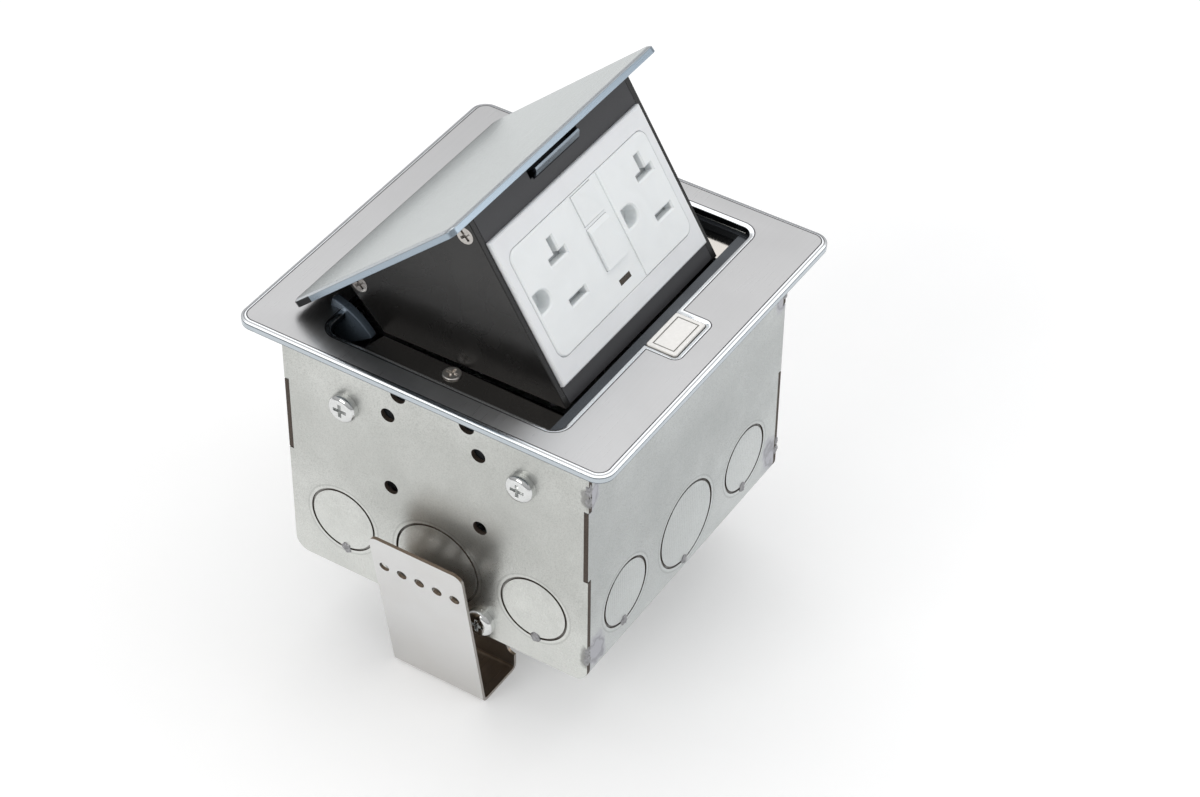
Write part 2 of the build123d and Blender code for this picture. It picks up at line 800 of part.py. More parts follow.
# Folded bracket under the lid, with ears for the side screws and the rear wall of the housing
with BuildPart() as lid_bracket:
    rear_face = housing_rear - bracket_sheet
    with BuildSketch(lid_level(-lid_thickness)):
        with Locations((0, (bracket_front + housing_rear) / 2)):
            Rectangle(2 * housing_inner, housing_rear - bracket_front)
    extrude(amount=-bracket_sheet)
    for outside in (-1, 1):
        with BuildSketch(lid_side(outside * (housing_inner - bracket_sheet))):
            with Locations(((bracket_front + rear_face) / 2, -lid_thickness - bracket_ear / 2)):
                Rectangle(rear_face - bracket_front, bracket_ear)
            with Locations((rear_screw_y, side_screw_z)):
                Circle(side_screw_shank / 2, mode=Mode.SUBTRACT)
        extrude(amount=outside * bracket_sheet)
    with BuildSketch(lid_level(-lid_thickness)):
        with Locations((0, (rear_face + housing_rear) / 2)):
            Rectangle(2 * (housing_inner - bracket_sheet - arm_sheet - arm_gap), bracket_sheet)
    extrude(amount=housing_low_rear + lid_thickness)
lid_bracket.part.label = "lid_bracket"
export_step(lid_bracket.part, "parts/lid_bracket.step")


def side_plate(outside):
    """Side of the housing: upright behind, square to the lid, and level below when the outlet is up."""
    top, tip = -lid_thickness, housing_tip_z
    with BuildPart() as plate:
        with BuildSketch(lid_side(outside * housing_inner)):
            with BuildLine():
                Polyline((face_line(rail_setback, top), top), (face_line(rail_setback, tip), tip),
                         (housing_rear, housing_low_rear), (housing_rear, top), close=True)
            make_face()
        extrude(amount=outside * side_sheet)
        for y in (front_screw_y, rear_screw_y):
            spot = lid_side(outside * housing_half).from_local_coords((y, side_screw_z, 0))
            place = Plane(origin=spot, x_dir=lid_side(0).x_dir, z_dir=(outside, 0, 0))
            hole = flat_screw(place, side_screw_head, side_screw_shank, screw_length, False)
            add(hole, mode=Mode.SUBTRACT)
    return plate.part


with BuildPart() as left_side_plate:
    add(side_plate(-1))
left_side_plate.part.label = "left_side_plate"
export_step(left_side_plate.part, "parts/left_side_plate.step")

with BuildPart() as right_side_plate:
    add(side_plate(1))
right_side_plate.part.label = "right_side_plate"
export_step(right_side_plate.part, "parts/right_side_plate.step")

with BuildPart() as side_screws:
    for outside in (-1, 1):
        for y in (front_screw_y, rear_screw_y):
            spot = lid_side(outside * housing_half).from_local_coords((y, side_screw_z, 0))
            place = Plane(origin=spot, x_dir=lid_side(0).x_dir, z_dir=(outside, 0, 0))
            add(flat_screw(place, side_screw_head, side_screw_shank, screw_length, True))
side_screws.part.label = "side_screws"
export_step(side_screws.part, "parts/side_screws.step")

def strap_holes():
    """Holes in the rails for the screws of the mounting strap."""
    with BuildPart() as holes:
        with BuildSketch(face_level(-rail_setback - rail_depth)):
            with GridLocations(2 * strap_screw_x, 2 * strap_screw_s, 2, 2):
                Circle(ledge_shank / 2)
        extrude(amount=strap_screw_length - strap_sheet)
    return holes.part


# Rails above and below the outlet
surround_top = surround_rise + surround_height / 2
surround_low = surround_rise - surround_height / 2
with BuildPart() as top_rail:
    with BuildSketch(face_level(-rail_setback)):
        with Locations((0, (surround_top + fit_gap + rail_high) / 2)):
            Rectangle(2 * housing_inner, rail_high - surround_top - fit_gap)
    extrude(amount=-rail_depth)
    split(bisect_by=lid_level(-lid_thickness), keep=Keep.BOTTOM)
    with BuildSketch(face_level(-rail_setback)):
        with Locations((0, (recess_low + rail_high) / 2)):
            Rectangle(2 * recess_half, rail_high - recess_low)
    extrude(amount=-recess_depth, mode=Mode.SUBTRACT)
    with BuildSketch(lid_level(tongue_top + tongue_gap)):
        with Locations((0, bracket_front)):
            Rectangle(2 * (tongue_half + tongue_gap), 2 * (bracket_front - lid_front))
    extrude(amount=-(tongue_sheet + 2 * tongue_gap), mode=Mode.SUBTRACT)
    for outside in (-1, 1):
        with BuildSketch(lid_side(outside * housing_inner)):
            with Locations((front_screw_y, side_screw_z)):
                Circle(side_screw_shank / 2)
        extrude(amount=-outside * (screw_length - side_sheet), mode=Mode.SUBTRACT)
    add(strap_holes(), mode=Mode.SUBTRACT)
top_rail.part.label = "top_rail"
export_step(top_rail.part, "parts/top_rail.step")

with BuildPart() as bottom_rail:
    with BuildSketch(face_level(-rail_setback)):
        with Locations((0, surround_low - fit_gap - rail_low / 2)):
            Rectangle(2 * housing_inner, rail_low)
    extrude(amount=-rail_depth)
    add(strap_holes(), mode=Mode.SUBTRACT)
bottom_rail.part.label = "bottom_rail"
export_step(bottom_rail.part, "parts/bottom_rail.step")

# White surround of the outlet
with BuildPart() as socket_surround:
    with BuildSketch(face_level(-surround_setback)):
        with Locations((0, surround_rise)):
            Rectangle(surround_width, surround_height)
        RectangleRounded(face_width + 2 * face_gap, face_height + 2 * face_gap, face_corner + face_gap,
                         mode=Mode.SUBTRACT)
    extrude(amount=-surround_thickness)
    front = socket_surround.faces().sort_by(Axis((0, 0, 0), face_level(0).z_dir))[-1]
    chamfer(front.outer_wire().edges(), face_edge)
socket_surround.part.label = "socket_surround"
export_step(socket_surround.part, "parts/socket_surround.step")

# Latch tongue that catches under the front bar
with BuildPart() as latch_tongue:
    tip_y = face_line(rail_setback, tongue_top) - tongue_reach
    with BuildSketch(lid_level(tongue_top)):
        with Locations((0, tip_y + tongue_length / 2)):
            Rectangle(2 * tongue_half, tongue_length)
    extrude(amount=-tongue_sheet)
    forward = Axis((0, 0, 0), -lid_side(0).x_dir)
    nose = latch_tongue.edges().filter_by(Axis.X).group_by(forward)[-1]
    chamfer(nose.sort_by(Axis((0, 0, 0), lid_level(0).z_dir))[0], tongue_slope, tongue_nose)
latch_tongue.part.label = "latch_tongue"
export_step(latch_tongue.part, "parts/latch_tongue.step")


def socket_slots():
    """Profile of the blade slots and ground holes of both outlets, drawn on the face."""
    with BuildSketch() as slots:
        for outlet in (-outlet_pitch / 2, outlet_pitch / 2):
            blades = outlet_shift + outlet + blade_x
            with Locations((blades, blade_spacing / 2), (blades, -blade_spacing / 2)):
                Rectangle(slot_length, slot_width)
            with Locations((blades, (blade_spacing + slot_width) / 2 + tee_arm / 2)):
                Rectangle(slot_width, tee_arm)
            ground = outlet_shift + outlet + ground_x
            with Locations((ground - ground_height / 4, 0)):
                Rectangle(ground_height / 2, ground_width)
            with Locations((ground, 0)):
                Circle(ground_width / 2)
                with Locations((-ground_height, 0)):
                    Rectangle(ground_height, 2 * ground_width, mode=Mode.SUBTRACT)
    return slots.sketch


def on_face(depth, sketch):
    """A sketch drawn flat, laid on the face at this depth."""
    return face_level(-depth) * sketch


# Front of the receptacle, with its slots, the openings of the two buttons and the shutter pockets
with BuildPart() as receptacle_face:
    with BuildSketch(face_level(-face_thickness)):
        RectangleRounded(face_width, face_height, face_corner)
    extrude(amount=face_thickness)
    front = receptacle_face.faces().sort_by(Axis((0, 0, 0), face_level(0).z_dir))[-1]
    chamfer(front.edges(), face_edge)
    with BuildSketch(face_level(0)):
        with Locations((press_mid, (reset_top + reset_bottom) / 2)):
            Rectangle(press_width + 2 * press_gap, reset_top - reset_bottom + 2 * press_gap)
        with Locations((press_mid, (test_top + test_bottom) / 2)):
            Rectangle(press_width + 2 * press_gap, test_top - test_bottom + 2 * press_gap)
        with Locations((window_x, window_y)):
            Rectangle(window_width, window_height)
    extrude(amount=-face_thickness, mode=Mode.SUBTRACT)
    with BuildSketch(face_level(0)):
        with Locations(((strip_left + strip_right) / 2, 0)):
            Rectangle(strip_right - strip_left, face_height)
    extrude(amount=-strip_depth, mode=Mode.SUBTRACT)
    slots = on_face(0, socket_slots())
    add(extrude(slots, amount=-(shutter_depth + shutter_room / 2), mode=Mode.PRIVATE), mode=Mode.SUBTRACT)
    outward = Axis(face_level(0).origin, face_level(0).z_dir)
    for panel in receptacle_face.faces().filter_by(face_level(0)).group_by(outward)[-1]:
        for mouth in panel.inner_wires():
            chamfer(mouth.edges(), slot_chamfer)
    for outlet in (-outlet_pitch / 2, outlet_pitch / 2):
        with BuildSketch(face_level(-shutter_depth)):
            with Locations((outlet_shift + outlet + blade_x, 0)):
                Rectangle(shutter_width + 2 * shutter_clearance,
                          shutter_height + 2 * shutter_travel + 2 * shutter_clearance)
        extrude(amount=-shutter_room, mode=Mode.SUBTRACT)
        with BuildSketch(face_level(-shutter_depth)):
            with Locations((outlet_shift + outlet + ground_x, 0)):
                Circle(ground_width / 2)
        extrude(amount=-shutter_room, mode=Mode.SUBTRACT)
receptacle_face.part.label = "receptacle_face"
export_step(receptacle_face.part, "parts/receptacle_face.step")


def shutter(outlet):
    """Sliding safety shutter behind the blade slots of one outlet."""
    middle = outlet_shift + outlet + blade_x
    with BuildPart() as slide:
        with BuildSketch(face_level(-shutter_depth - shutter_clearance)):
            with Locations((middle, 0)):
                Rectangle(shutter_width, shutter_height)
            with Locations((middle, blade_spacing / 2 - slot_width - shutter_travel / 2),
                           (middle, -blade_spacing / 2 - slot_width - shutter_travel / 2)):
                Rectangle(slot_length, slot_width, mode=Mode.SUBTRACT)
        extrude(amount=-shutter_thickness)
    return slide.part


with BuildPart() as left_shutter:
    add(shutter(-outlet_pitch / 2))
left_shutter.part.label = "left_shutter"
export_step(left_shutter.part, "parts/left_shutter.step")

with BuildPart() as right_shutter:
    add(shutter(outlet_pitch / 2))
right_shutter.part.label = "right_shutter"
export_step(right_shutter.part, "parts/right_shutter.step")

# Reset button, flush with the face
with BuildPart() as reset_button:
    with BuildSketch(face_level(-press_sink)):
        with Locations((press_mid, (reset_top + reset_bottom) / 2)):
            Rectangle(press_width, reset_top - reset_bottom)
    extrude(amount=-press_depth)
reset_button.part.label = "reset_button"
export_step(reset_button.part, "parts/reset_button.step")

# Test button, which stands a little proud and slopes at its upper edge
with BuildPart() as test_button:
    with BuildSketch(face_level(press_step)):
        with Locations((press_mid, (test_top + test_bottom) / 2)):
            Rectangle(press_width, test_top - test_bottom)
    extrude(amount=-(press_depth + press_step))
    proud = test_button.faces().sort_by(Axis((0, 0, 0), face_level(0).z_dir))[-1]
    upper = proud.edges().filter_by(Axis.X).sort_by(Axis.Z)[-1]
    chamfer(upper, press_slope, press_drop, reference=proud)
test_button.part.label = "test_button"
export_step(test_button.part, "parts/test_button.step")

# Dark window of the indicator light
with BuildPart() as indicator_window:
    with BuildSketch(face_level(-window_sink)):
        with Locations((window_x, window_y)):
            Rectangle(window_width, window_height)
    extrude(amount=-window_depth)
indicator_window.part.label = "indicator_window"
export_step(indicator_window.part, "parts/indicator_window.step")

# Steel mounting strap between the front and the body, screwed to the rails
with BuildPart() as mounting_strap:
    with BuildSketch(face_level(-face_thickness)):
        Rectangle(strap_width, strap_height)
        with Locations((0, strap_height / 2)):
            Rectangle(2 * strap_notch_half, strap_height - 2 * strap_notch_top, mode=Mode.SUBTRACT)
        with GridLocations(2 * strap_screw_x, 2 * strap_screw_s, 2, 2):
            Circle(ledge_shank / 2, mode=Mode.SUBTRACT)
        with Locations((press_mid, (reset_top + test_bottom) / 2)):
            Rectangle(press_width + press_room, reset_top - test_bottom + press_room, mode=Mode.SUBTRACT)
    extrude(amount=-strap_sheet)
mounting_strap.part.label = "mounting_strap"
export_step(mounting_strap.part, "parts/mounting_strap.step")

with BuildPart() as strap_screws:
    for x in (-strap_screw_x, strap_screw_x):
        for s in (-strap_screw_s, strap_screw_s):
            back = face_level(-face_thickness - strap_sheet)
            spot = back.from_local_coords((x, s, 0))
            place = Plane(origin=spot, x_dir=(1, 0, 0), z_dir=-back.z_dir)
            add(pan_screw(place, strap_screw_head, strap_screw_height, ledge_shank, strap_screw_length))
strap_screws.part.label = "strap_screws"
export_step(strap_screws.part, "parts/strap_screws.step")

def terminal_place(x, side):
    """Seat of one wire terminal, on the upper or lower side of the body."""
    depth = face_thickness + strap_sheet + terminal_depth + terminal_pocket / 2
    spot = face_level(-depth).from_local_coords((x, side * (body_height / 2 - terminal_sink), 0))
    return Plane(origin=spot, x_dir=(1, 0, 0), z_dir=face_level(0).y_dir * side)


# Body of the receptacle behind the strap, stepped in towards its back
with BuildPart() as receptacle_body:
    with BuildSketch(face_level(-face_thickness - strap_sheet)):
        RectangleRounded(body_width, body_height, body_corner)
    extrude(amount=-body_depth)
    back = receptacle_body.faces().sort_by(Axis((0, 0, 0), face_level(0).z_dir))[0]
    chamfer(back.edges(), body_corner)
    for side in (-1, 1):
        with BuildSketch(face_level(-face_thickness - strap_sheet - terminal_depth)):
            with Locations((0, side * body_height / 2)):
                with GridLocations(terminal_pitch, 1, 2, 1):
                    Rectangle(terminal_pocket, 2 * terminal_sink)
        extrude(amount=-terminal_pocket, mode=Mode.SUBTRACT)
        for x in (-terminal_pitch / 2, terminal_pitch / 2):
            with BuildSketch(terminal_place(x, side)):
                Circle(ledge_shank / 2)
            extrude(amount=-terminal_length, mode=Mode.SUBTRACT)
receptacle_body.part.label = "receptacle_body"
export_step(receptacle_body.part, "parts/receptacle_body.step")

# Wire terminals in the sides of the body
with BuildPart() as terminal_screws:
    for side in (-1, 1):
        for x in (-terminal_pitch / 2, terminal_pitch / 2):
            place = terminal_place(x, side)
            add(pan_screw(place, terminal_head, terminal_height, ledge_shank, terminal_length))
terminal_screws.part.label = "terminal_screws"
export_step(terminal_screws.part, "parts/terminal_screws.step")

# Release button with its stem
with BuildPart() as latch_button:
    with BuildSketch(level(0)):
        with Locations((0, button_mid)):
            RectangleRounded(button_width, button_depth, button_corner)
    extrude(amount=-button_cap)
    cap_top = latch_button.faces().sort_by(Axis.Z)[-1]
    chamfer(cap_top.edges(), button_bevel)
    with BuildSketch(level(0)):
        with Locations((0, button_mid)):
            Rectangle(button_width - 2 * button_border, button_depth - 2 * button_border)
            Rectangle(button_width - 2 * button_border - 2 * button_groove,
                      button_depth - 2 * button_border - 2 * button_groove, mode=Mode.SUBTRACT)
    extrude(amount=-button_groove, mode=Mode.SUBTRACT)
    with BuildSketch(level(-button_cap)):
        with Locations((0, button_mid)):
            Rectangle(stem_width, stem_depth)
    extrude(amount=-stem_length)
latch_button.part.label = "latch_button"
export_step(latch_button.part, "parts/latch_button.step")
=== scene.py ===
# %% [markdown]
# A pop-up outlet box for a worktop.
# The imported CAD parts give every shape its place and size. This script gives them soft edges and real
# finishes, adds the small traces of manufacture that a CAD model lacks, and lights them for a photograph.

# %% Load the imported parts
import json
from math import radians

import bpy
from mathutils import Matrix, Vector


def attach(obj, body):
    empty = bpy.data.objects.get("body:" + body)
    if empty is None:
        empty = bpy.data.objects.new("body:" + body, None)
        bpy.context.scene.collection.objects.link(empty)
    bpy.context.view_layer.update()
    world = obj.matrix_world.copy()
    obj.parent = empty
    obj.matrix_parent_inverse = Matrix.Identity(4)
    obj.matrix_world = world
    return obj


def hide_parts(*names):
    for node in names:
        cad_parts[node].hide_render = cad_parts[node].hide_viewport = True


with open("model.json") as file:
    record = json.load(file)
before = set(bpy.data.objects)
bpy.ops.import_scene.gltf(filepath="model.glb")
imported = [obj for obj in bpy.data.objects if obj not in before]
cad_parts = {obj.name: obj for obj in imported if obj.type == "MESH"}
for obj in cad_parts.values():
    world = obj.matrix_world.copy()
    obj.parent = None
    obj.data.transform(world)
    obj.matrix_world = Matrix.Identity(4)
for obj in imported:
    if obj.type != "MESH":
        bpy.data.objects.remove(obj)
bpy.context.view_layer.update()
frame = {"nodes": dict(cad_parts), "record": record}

# %% [markdown]
# Everything is in metres, and CAD sizes are easier to read in millimetres, so one helper converts them.
# Heights are given from the top face of the flange, as on the drawing of the part.
# Operators act on whatever is selected, so a second helper clears the selection and picks one object.
# The third puts a finished piece's place into its mesh and ties it to the body that it moves with.

# %% Small helpers
FLANGE_TOP = 116.5
print("flange top", FLANGE_TOP, "mm above the floor")


def mm(*values):
    """A point given in millimetres, in metres."""
    return Vector(value / 1000 for value in values)


def pick(piece):
    """Make this the only selected object, and the active one."""
    bpy.ops.object.select_all(action="DESELECT")
    piece.select_set(True)
    bpy.context.view_layer.objects.active = piece


def seat(piece, body):
    """Put a finished piece's place into its mesh, and let it ride on a body."""
    pick(piece)
    bpy.ops.object.transform_apply(location=True, rotation=True, scale=True)
    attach(piece, body)
    return piece


# %% [markdown]
# Several finishes share the same effects, so each effect is a node group, built once.
# The first is the grain of brushed steel: noise that is stretched along the brushing direction.
# A second, finer noise lies over it. Height drives a bump, and Tone changes roughness and colour.

# %% Node group: brushed grain
def start_group(name, inputs, outputs):
    """An empty shader node group with named sockets, and its two end nodes."""
    group = bpy.data.node_groups.new(name, "ShaderNodeTree")
    for label, kind, value in inputs:
        socket = group.interface.new_socket(label, in_out="INPUT", socket_type=kind)
        if value is not None:
            socket.default_value = value
    for label, kind in outputs:
        group.interface.new_socket(label, in_out="OUTPUT", socket_type=kind)
    entry = group.nodes.new("NodeGroupInput")
    result = group.nodes.new("NodeGroupOutput")
    return group, entry, result


def maths(tree, operation, a, b=None):
    """One Math node, fed by sockets or by plain numbers."""
    node = tree.nodes.new("ShaderNodeMath")
    node.operation = operation
    for socket, value in zip(node.inputs, (a, b)):
        if isinstance(value, (int, float)):
            socket.default_value = value
        elif value is not None:
            tree.links.new(value, socket)
    return node.outputs[0]


def noise(tree, vector, scale, detail=2.0, roughness=0.5):
    """A Noise Texture's value."""
    node = tree.nodes.new("ShaderNodeTexNoise")
    node.inputs["Scale"].default_value = scale
    node.inputs["Detail"].default_value = detail
    node.inputs["Roughness"].default_value = roughness
    tree.links.new(vector, node.inputs["Vector"])
    return node.outputs[0]


def spread(tree, value, low, high, new_low=0.0, new_high=1.0):
    """Map Range from one span to another, clamped."""
    node = tree.nodes.new("ShaderNodeMapRange")
    tree.links.new(value, node.inputs["Value"])
    for name, number in (("From Min", low), ("From Max", high), ("To Min", new_low), ("To Max", new_high)):
        node.inputs[name].default_value = number
    return node.outputs[0]


def stretch(tree, vector, scale):
    """A Mapping node that only scales."""
    node = tree.nodes.new("ShaderNodeMapping")
    tree.links.new(vector, node.inputs["Vector"])
    node.inputs["Scale"].default_value = scale
    return node.outputs[0]


grain, entry, result = start_group(
    "Brushed grain", [("Vector", "NodeSocketVector", None)],
    [("Height", "NodeSocketFloat"), ("Tone", "NodeSocketFloat")])
coarse = noise(grain, stretch(grain, entry.outputs["Vector"], (45, 5200, 5200)), 1.0, 3.0, 0.6)
fine = noise(grain, stretch(grain, entry.outputs["Vector"], (90, 9000, 9000)), 1.0, 2.0, 0.6)
grain.links.new(maths(grain, "ADD", coarse, fine), result.inputs["Height"])
grain.links.new(spread(grain, coarse, 0.3, 0.7), result.inputs["Tone"])
print("made", grain.name)

# %% [markdown]
# Galvanised sheet has a mottled skin: soft clouds of lighter and darker zinc, with a fine speckle in it.
# The clouds come from a low noise, the speckle from a high one, and a faint spangle from Voronoi cells.

# %% Node group: zinc skin
zinc, entry, result = start_group(
    "Zinc skin", [("Vector", "NodeSocketVector", None)],
    [("Cloud", "NodeSocketFloat"), ("Speckle", "NodeSocketFloat"), ("Height", "NodeSocketFloat")])
cloud = noise(zinc, entry.outputs["Vector"], 45.0, 5.0, 0.62)
speckle = noise(zinc, entry.outputs["Vector"], 2600.0, 3.0, 0.65)
cells = zinc.nodes.new("ShaderNodeTexVoronoi")
cells.inputs["Scale"].default_value = 420.0
zinc.links.new(entry.outputs["Vector"], cells.inputs["Vector"])
zinc.links.new(spread(zinc, cloud, 0.32, 0.68), result.inputs["Cloud"])
zinc.links.new(spread(zinc, speckle, 0.3, 0.7), result.inputs["Speckle"])
zinc.links.new(maths(zinc, "ADD", speckle, maths(zinc, "MULTIPLY", cells.outputs["Distance"], 0.4)),
               result.inputs["Height"])
print("made", zinc.name)

# %% [markdown]
# Handling leaves faint smears that show mostly in the gloss. One group makes them, and each finish that
# fingers touch places it at its own scale.

# %% Node group: handling smears
smears, entry, result = start_group(
    "Handling smears", [("Vector", "NodeSocketVector", None), ("Scale", "NodeSocketFloat", 60.0)],
    [("Mask", "NodeSocketFloat")])
smear = smears.nodes.new("ShaderNodeTexNoise")
smear.inputs["Detail"].default_value = 4.0
smear.inputs["Distortion"].default_value = 1.2
smears.links.new(entry.outputs["Vector"], smear.inputs["Vector"])
smears.links.new(entry.outputs["Scale"], smear.inputs["Scale"])
smears.links.new(spread(smears, smear.outputs[0], 0.42, 0.7), result.inputs["Mask"])
print("made", smears.name)

# %% [markdown]
# The flange and the lid have a polished line along each edge, painted brighter as a highlight, inside a
# thin dark line.
# It follows a rounded rectangle, so this group measures how far a point is from one, in metres:
# below zero inside, above zero outside. A thin range of that distance is then a line of even width, which
# turns the corners without a drawn texture.

# %% Node group: distance from a rounded rectangle
outline, entry, result = start_group(
    "Outline distance",
    [("Vector", "NodeSocketVector", None), ("Half X", "NodeSocketFloat", 0.05),
     ("Half Y", "NodeSocketFloat", 0.05), ("Middle Y", "NodeSocketFloat", 0.0),
     ("Corner", "NodeSocketFloat", 0.004)],
    [("Distance", "NodeSocketFloat")])
apart = outline.nodes.new("ShaderNodeSeparateXYZ")
outline.links.new(entry.outputs["Vector"], apart.inputs[0])
over = []
for axis, half in (("X", "Half X"), ("Y", "Half Y")):
    place = apart.outputs[axis]
    if axis == "Y":
        place = maths(outline, "SUBTRACT", place, entry.outputs["Middle Y"])
    inner = maths(outline, "SUBTRACT", entry.outputs[half], entry.outputs["Corner"])
    over.append(maths(outline, "SUBTRACT", maths(outline, "ABSOLUTE", place), inner))
square = [maths(outline, "POWER", maths(outline, "MAXIMUM", value, 0.0), 2.0) for value in over]
beyond = maths(outline, "SQRT", maths(outline, "ADD", *square))
within = maths(outline, "MINIMUM", maths(outline, "MAXIMUM", *over), 0.0)
distance = maths(outline, "SUBTRACT", maths(outline, "ADD", beyond, within), entry.outputs["Corner"])
outline.links.new(distance, result.inputs["Distance"])
print("made", outline.name)

# %% [markdown]
# Each material keeps its own Principled BSDF. A helper starts one and hands back what the finish needs:
# its node tree, its shader, and the Object coordinates, which stay with the piece as it moves.
# Three more place a group, mix two colours and turn a height into a bump.

# %% Start a material
def start_material(name, colour, metallic, roughness):
    """A new material with its tree, its shader and its Object coordinates."""
    material = bpy.data.materials.new(name)
    material.use_nodes = True
    tree = material.node_tree
    shader = tree.nodes["Principled BSDF"]
    shader.inputs["Base Color"].default_value = (*colour, 1)
    shader.inputs["Metallic"].default_value = metallic
    shader.inputs["Roughness"].default_value = roughness
    where = tree.nodes.new("ShaderNodeTexCoord").outputs["Object"]
    return material, tree, shader, where


def use_group(tree, group, where, **values):
    """Place a group in a material, with its own values."""
    node = tree.nodes.new("ShaderNodeGroup")
    node.node_tree = group
    tree.links.new(where, node.inputs["Vector"])
    for name, value in values.items():
        node.inputs[name.replace("_", " ")].default_value = value
    return node


def mix_colours(tree, factor, first, second):
    """A Mix node between two colours, each a socket or plain numbers."""
    node = tree.nodes.new("ShaderNodeMix")
    node.data_type = "RGBA"
    tree.links.new(factor, node.inputs[0])
    for socket, value in ((node.inputs[6], first), (node.inputs[7], second)):
        if isinstance(value, tuple):
            socket.default_value = (*value, 1)
        else:
            tree.links.new(value, socket)
    return node.outputs[2]


def bump(tree, shader, height, strength, depth):
    """Feed a height into the shader's normal."""
    node = tree.nodes.new("ShaderNodeBump")
    node.inputs["Strength"].default_value = strength
    node.inputs["Distance"].default_value = depth
    tree.links.new(height, node.inputs["Height"])
    tree.links.new(node.outputs["Normal"], shader.inputs["Normal"])


# %% [markdown]
# The flange: brushed steel, with a polished bevel round the plate, the opening and the button's pocket; the
# bevel's brighter colour is a painted highlight. A dark line runs beside each bevel, and a fainter one
# along the outer bevel. Below the bevel the cut side of the plate is a bluer, duller grey, a painted
# reflection. A dark band runs near the top of that side, the underside is darker as painted shade, and the
# wall of the opening is dark, also painted shade. All of this follows from where a point is, so it is
# worked out from coordinates and not drawn in a texture.

# %% Masks that follow an edge
def band(tree, value, low, high):
    """1 between two values, 0 outside them."""
    return maths(tree, "MULTIPLY", maths(tree, "GREATER_THAN", value, low),
                 maths(tree, "LESS_THAN", value, high))


def either(tree, first, second):
    """The larger of two masks."""
    return maths(tree, "MAXIMUM", first, second)


def without(tree, mask):
    """The reverse of a mask."""
    return maths(tree, "SUBTRACT", 1.0, mask)


def edge_distance(tree, where, half_x, half_y, middle_y, corner):
    """Distance in metres from a rounded rectangle that is given in millimetres."""
    node = use_group(tree, outline, where, Half_X=half_x / 1000, Half_Y=half_y / 1000,
                     Middle_Y=middle_y / 1000, Corner=corner / 1000)
    return node.outputs["Distance"]


FLANGE_HALF, FLANGE_CORNER = 60.325, 5.0
OPENING_HALF_X, OPENING_HALF_Y, OPENING_MIDDLE, OPENING_CORNER = 51.0, 38.05, -1.85, 4.0
POCKET_HALF_X, POCKET_HALF_Y, POCKET_MIDDLE, POCKET_CORNER = 8.3, 7.05, -42.95, 1.2
print("flange", 2 * FLANGE_HALF, "mm square, opening", 2 * OPENING_HALF_X, "x", 2 * OPENING_HALF_Y, "mm")

# %% [markdown]
# With these distances the finish is a stack of masks. Widths and depths are in metres here, because the
# distances are.

# %% Finish of the flange
BEVEL, INNER_BEVEL, DARK_LINE = 0.00145, 0.0013, 0.00035
SIDE_TOP, UNDERSIDE = 0.00056, 0.0021

flange_steel, tree, shader, where = start_material("flange steel", (0.53, 0.53, 0.535), 1.0, 0.3)
brushed = use_group(tree, grain, where)
smudged = use_group(tree, smears, where, Scale=35.0)
plate_edge = edge_distance(tree, where, FLANGE_HALF, FLANGE_HALF, 0.0, FLANGE_CORNER)
hole_edge = edge_distance(tree, where, OPENING_HALF_X, OPENING_HALF_Y, OPENING_MIDDLE, OPENING_CORNER)
pocket_edge = edge_distance(tree, where, POCKET_HALF_X, POCKET_HALF_Y, POCKET_MIDDLE, POCKET_CORNER)
opening_edge = maths(tree, "MINIMUM", hole_edge, pocket_edge)
parts = tree.nodes.new("ShaderNodeSeparateXYZ")
tree.links.new(where, parts.inputs[0])
depth = maths(tree, "SUBTRACT", FLANGE_TOP / 1000, parts.outputs["Z"])
# Painted reflection: the cut side below the bevel gets a bluer grey for what it mirrors.
side = maths(tree, "GREATER_THAN", depth, SIDE_TOP)
dark_line = either(tree, band(tree, plate_edge, -BEVEL - DARK_LINE, -BEVEL),
                   band(tree, opening_edge, INNER_BEVEL, INNER_BEVEL + DARK_LINE))
faint_line = maths(tree, "MULTIPLY", band(tree, plate_edge, -0.00105, -0.00068), 0.6)
dark_line = either(tree, dark_line, faint_line)
# A dark band near the top of the side, and painted shade on the underside.
side_band_and_underside_shade = either(tree, band(tree, depth, 0.00048, 0.00078),
                    maths(tree, "GREATER_THAN", depth, UNDERSIDE))
# Painted shade: the wall of the opening is near black.
opening_wall_shade = maths(tree, "MULTIPLY", maths(tree, "GREATER_THAN", depth, 0.0005),
             maths(tree, "LESS_THAN", opening_edge, 0.0003))
# The polished bevel is smoother, and its brighter colour is a painted highlight.
polish_and_highlight = either(tree, maths(tree, "GREATER_THAN", plate_edge, -BEVEL),
                  maths(tree, "LESS_THAN", opening_edge, INNER_BEVEL))
plain = mix_colours(tree, brushed.outputs["Tone"], (0.515, 0.515, 0.518), (0.545, 0.545, 0.55))
bevel_highlight = mix_colours(tree, polish_and_highlight, plain, (0.84, 0.86, 0.88))
lined = mix_colours(tree, dark_line, bevel_highlight, (0.09, 0.09, 0.095))
sided = mix_colours(tree, side, lined, (0.50, 0.545, 0.58))
sided = mix_colours(tree, side_band_and_underside_shade, sided, (0.20, 0.225, 0.245))
tree.links.new(mix_colours(tree, opening_wall_shade, sided, (0.05, 0.055, 0.06)), shader.inputs["Base Color"])
rough = maths(tree, "ADD", maths(tree, "MULTIPLY", brushed.outputs["Tone"], 0.07),
              maths(tree, "MULTIPLY", smudged.outputs["Mask"], 0.05))
rough = maths(tree, "ADD", rough, 0.27)
rough = maths(tree, "MULTIPLY", rough, without(tree, maths(tree, "MULTIPLY", polish_and_highlight, 0.45)))
tree.links.new(rough, shader.inputs["Roughness"])
grooves = maths(tree, "MULTIPLY", brushed.outputs["Height"], without(tree, polish_and_highlight))
bump(tree, shader, grooves, 0.09, 0.00005)
print("made", flange_steel.name)
